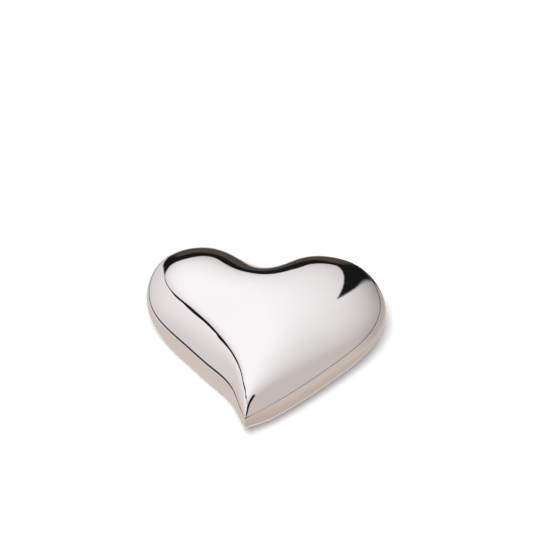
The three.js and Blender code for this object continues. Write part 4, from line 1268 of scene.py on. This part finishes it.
settle(post, "base", "post_metal", "magnet_post")
settle(magnet, "base", "magnet", "base_magnet")
settle(cup, "lid", "post_metal", "keeper_cup")
settle(keeper, "lid", "pin_steel", "lid_keeper")


# ------------------------------------------------------------------ studio: floor, surroundings, camera
PSI = math.radians(5.568)  # the camera's plan direction, from +Y


def studio_world():
    w = bpy.data.worlds.new("studio")
    SCENE.world = w
    w.use_nodes = True
    n = Nodes(w.node_tree)
    out = n.new("ShaderNodeOutputWorld")
    d = n.new("ShaderNodeTexCoord").outputs["Generated"]
    rot = n.new("ShaderNodeVectorRotate", rotation_type="Z_AXIS")
    n.put(rot.inputs["Vector"], d)
    rot.inputs["Angle"].default_value = -PSI
    xyz = n.new("ShaderNodeSeparateXYZ")
    n.put(xyz.inputs[0], rot.outputs[0])
    X, Y, Z = xyz.outputs
    az = n.mul(n.math("ARCTAN2", X, Y), 57.29578)  # 0 away from the camera, +90 to its right
    el = n.mul(n.math("ARCSINE", n.math("MAXIMUM", n.math("MINIMUM", Z, 0.99999), -0.99999)), 57.29578)

    def curve(points, lo, hi, x, x0, x1):
        """y over x by straight pieces; y runs from lo to hi."""
        f = n.new("ShaderNodeFloatCurve")
        c = f.mapping.curves[0]
        pts = [((px - x0) / (x1 - x0), (py - lo) / (hi - lo)) for px, py in points]
        while len(c.points) < len(pts):
            c.points.new(0.5, 0.5)
        for q, (px, py) in zip(c.points, pts):
            q.location = (px, py)
            q.handle_type = "VECTOR"
        f.mapping.update()
        f.inputs["Factor"].default_value = 1.0
        n.put(f.inputs["Value"], n.ramp(x, x0, x1, 0.0, 1.0, smooth=False))
        return n.add(n.mul(f.outputs[0], hi - lo), lo)

    # lower edge of the big overhead diffuser, by azimuth
    e_top = curve([(-180, 70), (-150, 70), (-120, 70), (-110, 68.5), (-100, 62), (-95, 57), (-91, 52.2), (-88, 51.6), (-83.5, 51.8), (-78, 51.0), (-71, 50.2),
                   (-65, 48.6), (-59, 46.1), (-53, 42.7), (-50, 40.8), (-47, 37.6), (-44, 32.0), (-42, 28.0), (-40, 23.2), (-38, 19), (-35, 13.6),
                   (-32, 11.3), (-30, 10.2), (-25, 8.4), (-21.5, 8.5), (-19, 8.9), (-16, 9.5), (-14, 9.8), (-12, 9.6), (-10, 9.3), (-8, 8.8),
                   (-6, 8.3), (-2.7, 8.0), (-1, 8.2), (0.4, 9.4), (1.2, 11.4), (1.8, 12.6), (2.3, 13.8), (3.0, 15.8), (3.9, 17.0), (4.6, 15.0),
                   (5.2, 13.2), (6.2, 12.4), (8.5, 12.0), (13, 12.0), (16, 12.8), (20, 18.2), (22, 21.2), (26, 27.5), (30, 34.0), (32, 37.2),
                   (34, 39.8), (35.4, 41.3), (36, 0), (136, 0), (137, 38), (142, 46), (148, 54), (155, 60), (165, 66), (180, 70)],
                  0, 80, az, -180, 180)
    # the dark slit between it and the card on the left, which closes towards the back
    width = curve([(-180, 5.0), (-150, 7.0), (-120, 9.5), (-110, 9.5), (-95, 10.0), (-91, 11.4), (-89.5, 10.6), (-87.5, 8.8), (-83.5, 6.7), (-78, 6.3), (-71, 6.0),
                   (-65, 6.5), (-59, 6.0), (-53, 4.9), (-50, 4.8), (-47, 6.4), (-44.5, 4.6), (-42.3, 3.0), (-40, 2.1), (-37, 1.6), (-33, 0),
                   (136, 0), (140, 3.4), (180, 5.0)], 0, 12, az, -180, 180)
    l_right = curve([(-90, -16), (-24, -17), (-20, -18.5), (-15, -22), (-12, -24), (-8, -26), (-4, -28), (2, -29.8), (6, -31.4), (10, -33.0), (12.5, -34.2), (90, -34.2)],
                    -40, 0, el, -90, 90)
    r_left = curve([(-90, 30.5), (-20, 31), (0, 32), (10, 32.4), (20, 33.2), (30, 34.3), (38, 34.9), (42, 35.6), (90, 35.6)], 0, 60, el, -90, 90)

    # overhead diffuser: bright in the middle, and its light runs out softly to the right and the left
    reach = curve([(-180, 0), (-80, 0), (-60, 5), (-50, 14), (-40, 29), (-30, 45), (-20, 49), (-10, 43), (5, 34), (25, 20), (45, 8), (75, 0), (110, 3), (180, 5)],
                  0, 60, az, -180, 180)
    fall = n.ramp(n.add(el, reach), 18.0, 80.0)
    panel = n.mix(fall, (0.475, 0.425, 0.402), (1.0, 0.996, 0.998))
    low_right = n.mul(n.ramp(el, 19.0, 2.0), n.ramp(az, 60.0, 40.0))
    panel = n.mix(n.mul(low_right, 0.42), panel, (0.30, 0.26, 0.24))
    front_side = n.ramp(az, 86.0, 116.0)
    panel = n.mix(n.mul(front_side, n.ramp(fall, 0.5, 0.0)), panel, (0.60, 0.535, 0.505))

    # card on the left, and the plain light front of the room
    card = n.mix(n.ramp(el, -28.0, 45.0), (0.70, 0.66, 0.66), (0.875, 0.84, 0.845))
    lip = n.mul(n.ramp(n.sub(n.sub(e_top, width), el), 4.0, 0.4), n.ramp(az, -36.0, -48.0))
    card = n.mix(n.mul(lip, 0.7), card, (1.0, 0.975, 0.93))
    near_side = n.mix(n.ramp(el, -26.0, -72.0, smooth=False), (0.635, 0.525, 0.45), (0.52, 0.43, 0.375))
    ground = n.mix(n.ramp(az, -50.0, 40.0), (0.665, 0.575, 0.52), near_side)
    card = n.mix(n.ramp(el, -34.0, -42.0), card, ground)
    panel = n.mix(n.ramp(el, -12.0, -30.0), panel, ground)

    # the dark back of the room: black above, brown floor boards below, then the white table's far edge
    brown = n.mul(n.ramp(n.math("ABSOLUTE", az), 19.0, 13.0), n.ramp(n.sub(el, n.ramp(az, 4.0, 12.0, 0.0, 5.0)), 2.2, -1.5))
    dark = n.mix(brown, (0.0095, 0.009, 0.0095), (0.076, 0.061, 0.05))
    edge_low = n.ramp(az, 4.0, 14.0, 0.0, -15.0)
    dark = n.mix(n.ramp(n.sub(el, edge_low), -19.5, -33.0), dark, (0.80, 0.77, 0.75))

    over = n.ramp(n.sub(el, e_top), -0.35, 0.5)
    behind = n.mul(n.ramp(n.sub(az, l_right), -1.3, 1.0), n.ramp(n.sub(az, r_left), n.ramp(el, 14, 28, 1.9, 0.7), n.ramp(el, 14, 28, -1.6, -0.7)))
    slit = n.mul(n.ramp(n.sub(el, n.sub(e_top, width)), -0.35, 0.35), n.ramp(n.math("ABSOLUTE", n.sub(az, 52.0)), 83.9, 84.2))
    # the side card on the right is one with the diffuser; everything else under the diffuser's edge is the card on the left
    is_left = n.math("MAXIMUM", n.ramp(az, 0.0, -1.0), n.ramp(az, 134.8, 135.6))
    rest = n.mix(is_left, panel, card)
    rest = n.mix(slit, rest, (0.006, 0.005, 0.005))
    rest = n.mix(behind, rest, dark)
    col = n.mix(over, rest, panel)
    # narrow dark gap at the right-hand card's front end
    gap_at = curve([(-90, 134), (-8, 134), (0, 135.5), (10, 136), (20, 134.6), (27, 134), (31, 132.6), (34, 130.5), (37, 128.3), (40, 126.5), (44, 124), (90, 124)],
                   120, 140, el, -90, 90)
    gap_w = curve([(-90, 0), (-10, 0), (-2, 2.4), (8, 3.5), (20, 3.4), (30, 4.4), (38, 4.8), (42, 3.6), (44.8, 0), (90, 0)], 0, 6, el, -90, 90)
    off = n.sub(n.math("ABSOLUTE", n.sub(az, gap_at)), gap_w)
    col = n.mix(n.mul(n.ramp(off, 0.5, -0.5), n.ramp(gap_w, 0.0, 0.4)), col, (0.008, 0.007, 0.007))

    glossy = n.new("ShaderNodeBackground")
    n.put(glossy.inputs[0], col)
    # what lights the floor and the lining: the same overhead light, plain
    soft = n.new("ShaderNodeBackground")
    n.put(soft.inputs[0], n.mix(n.ramp(el, -5.0, 25.0), (0.35, 0.34, 0.33), (1.0, 0.995, 0.985)))
    soft.inputs[1].default_value = 0.34
    white = n.new("ShaderNodeBackground")
    white.inputs[0].default_value = (1.0, 1.0, 1.0, 1.0)
    white.inputs[1].default_value = 1.05
    path = n.new("ShaderNodeLightPath")
    a = n.new("ShaderNodeMixShader")
    n.put(a.inputs[0], path.outputs["Is Diffuse Ray"])
    n.put(a.inputs[1], glossy.outputs[0])
    n.put(a.inputs[2], soft.outputs[0])
    b = n.new("ShaderNodeMixShader")
    n.put(b.inputs[0], path.outputs["Is Camera Ray"])
    n.put(b.inputs[1], a.outputs[0])
    n.put(b.inputs[2], white.outputs[0])
    n.put(out.inputs[0], b.outputs[0])


studio_world()

fm, n, b = material("pale_floor")
grain = n.noise(n.coords(1.0), 30.0, 2.0, 0.5)
n.put(b.inputs["Base Color"], n.mix(grain, (0.93, 0.93, 0.93), (0.95, 0.95, 0.95)))
b.inputs["Roughness"].default_value = 0.9
b.inputs["Specular IOR Level"].default_value = 0.0
me = bpy.data.meshes.new("floor")
R = 6.0
k = 48
me.from_pydata([(R * math.cos(2 * math.pi * i / k), R * math.sin(2 * math.pi * i / k), 0.0) for i in range(k)], [], [tuple(range(k))])
floor = bpy.data.objects.new("floor", me)
SCENE.collection.objects.link(floor)
me.materials.append(fm)
floor.visible_glossy = False
floor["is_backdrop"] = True

key = bpy.data.lights.new("key", "AREA")
key.shape = "RECTANGLE"
key.size, key.size_y = 0.72, 0.72
key.energy = 20.0
key_ob = bpy.data.objects.new("key", key)
SCENE.collection.objects.link(key_ob)
key_ob.location = (-0.095, -0.5, 1.3)
key_ob.rotation_mode = "QUATERNION"
key_ob.rotation_quaternion = (Vector((0, 0, 0.015)) - key_ob.location).to_track_quat("-Z", "Y")
key_ob.visible_glossy = False

cam = bpy.data.cameras.new("camera")
cam.lens = 147.5
cam.sensor_width = 36.0
cam.clip_start, cam.clip_end = 0.01, 50.0
cam_ob = bpy.data.objects.new("camera", cam)
SCENE.collection.objects.link(cam_ob)
aim = Vector((-1.304, 29.793 + SHIFT_Y, Z_WIDE)) * MM
eye = Vector((42.357, -418.035 + SHIFT_Y, 536.231 + Z_WIDE)) * MM
cam_ob.location = eye
cam_ob.rotation_mode = "QUATERNION"
cam_ob.rotation_quaternion = (aim - eye).to_track_quat("-Z", "Y")
SCENE.camera = cam_ob
SCENE.view_settings.view_transform = "Standard"

lo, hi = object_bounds()
{"cad": [list(CAD_BOX[0]), list(CAD_BOX[1])], "visual": [list(lo), list(hi)]}
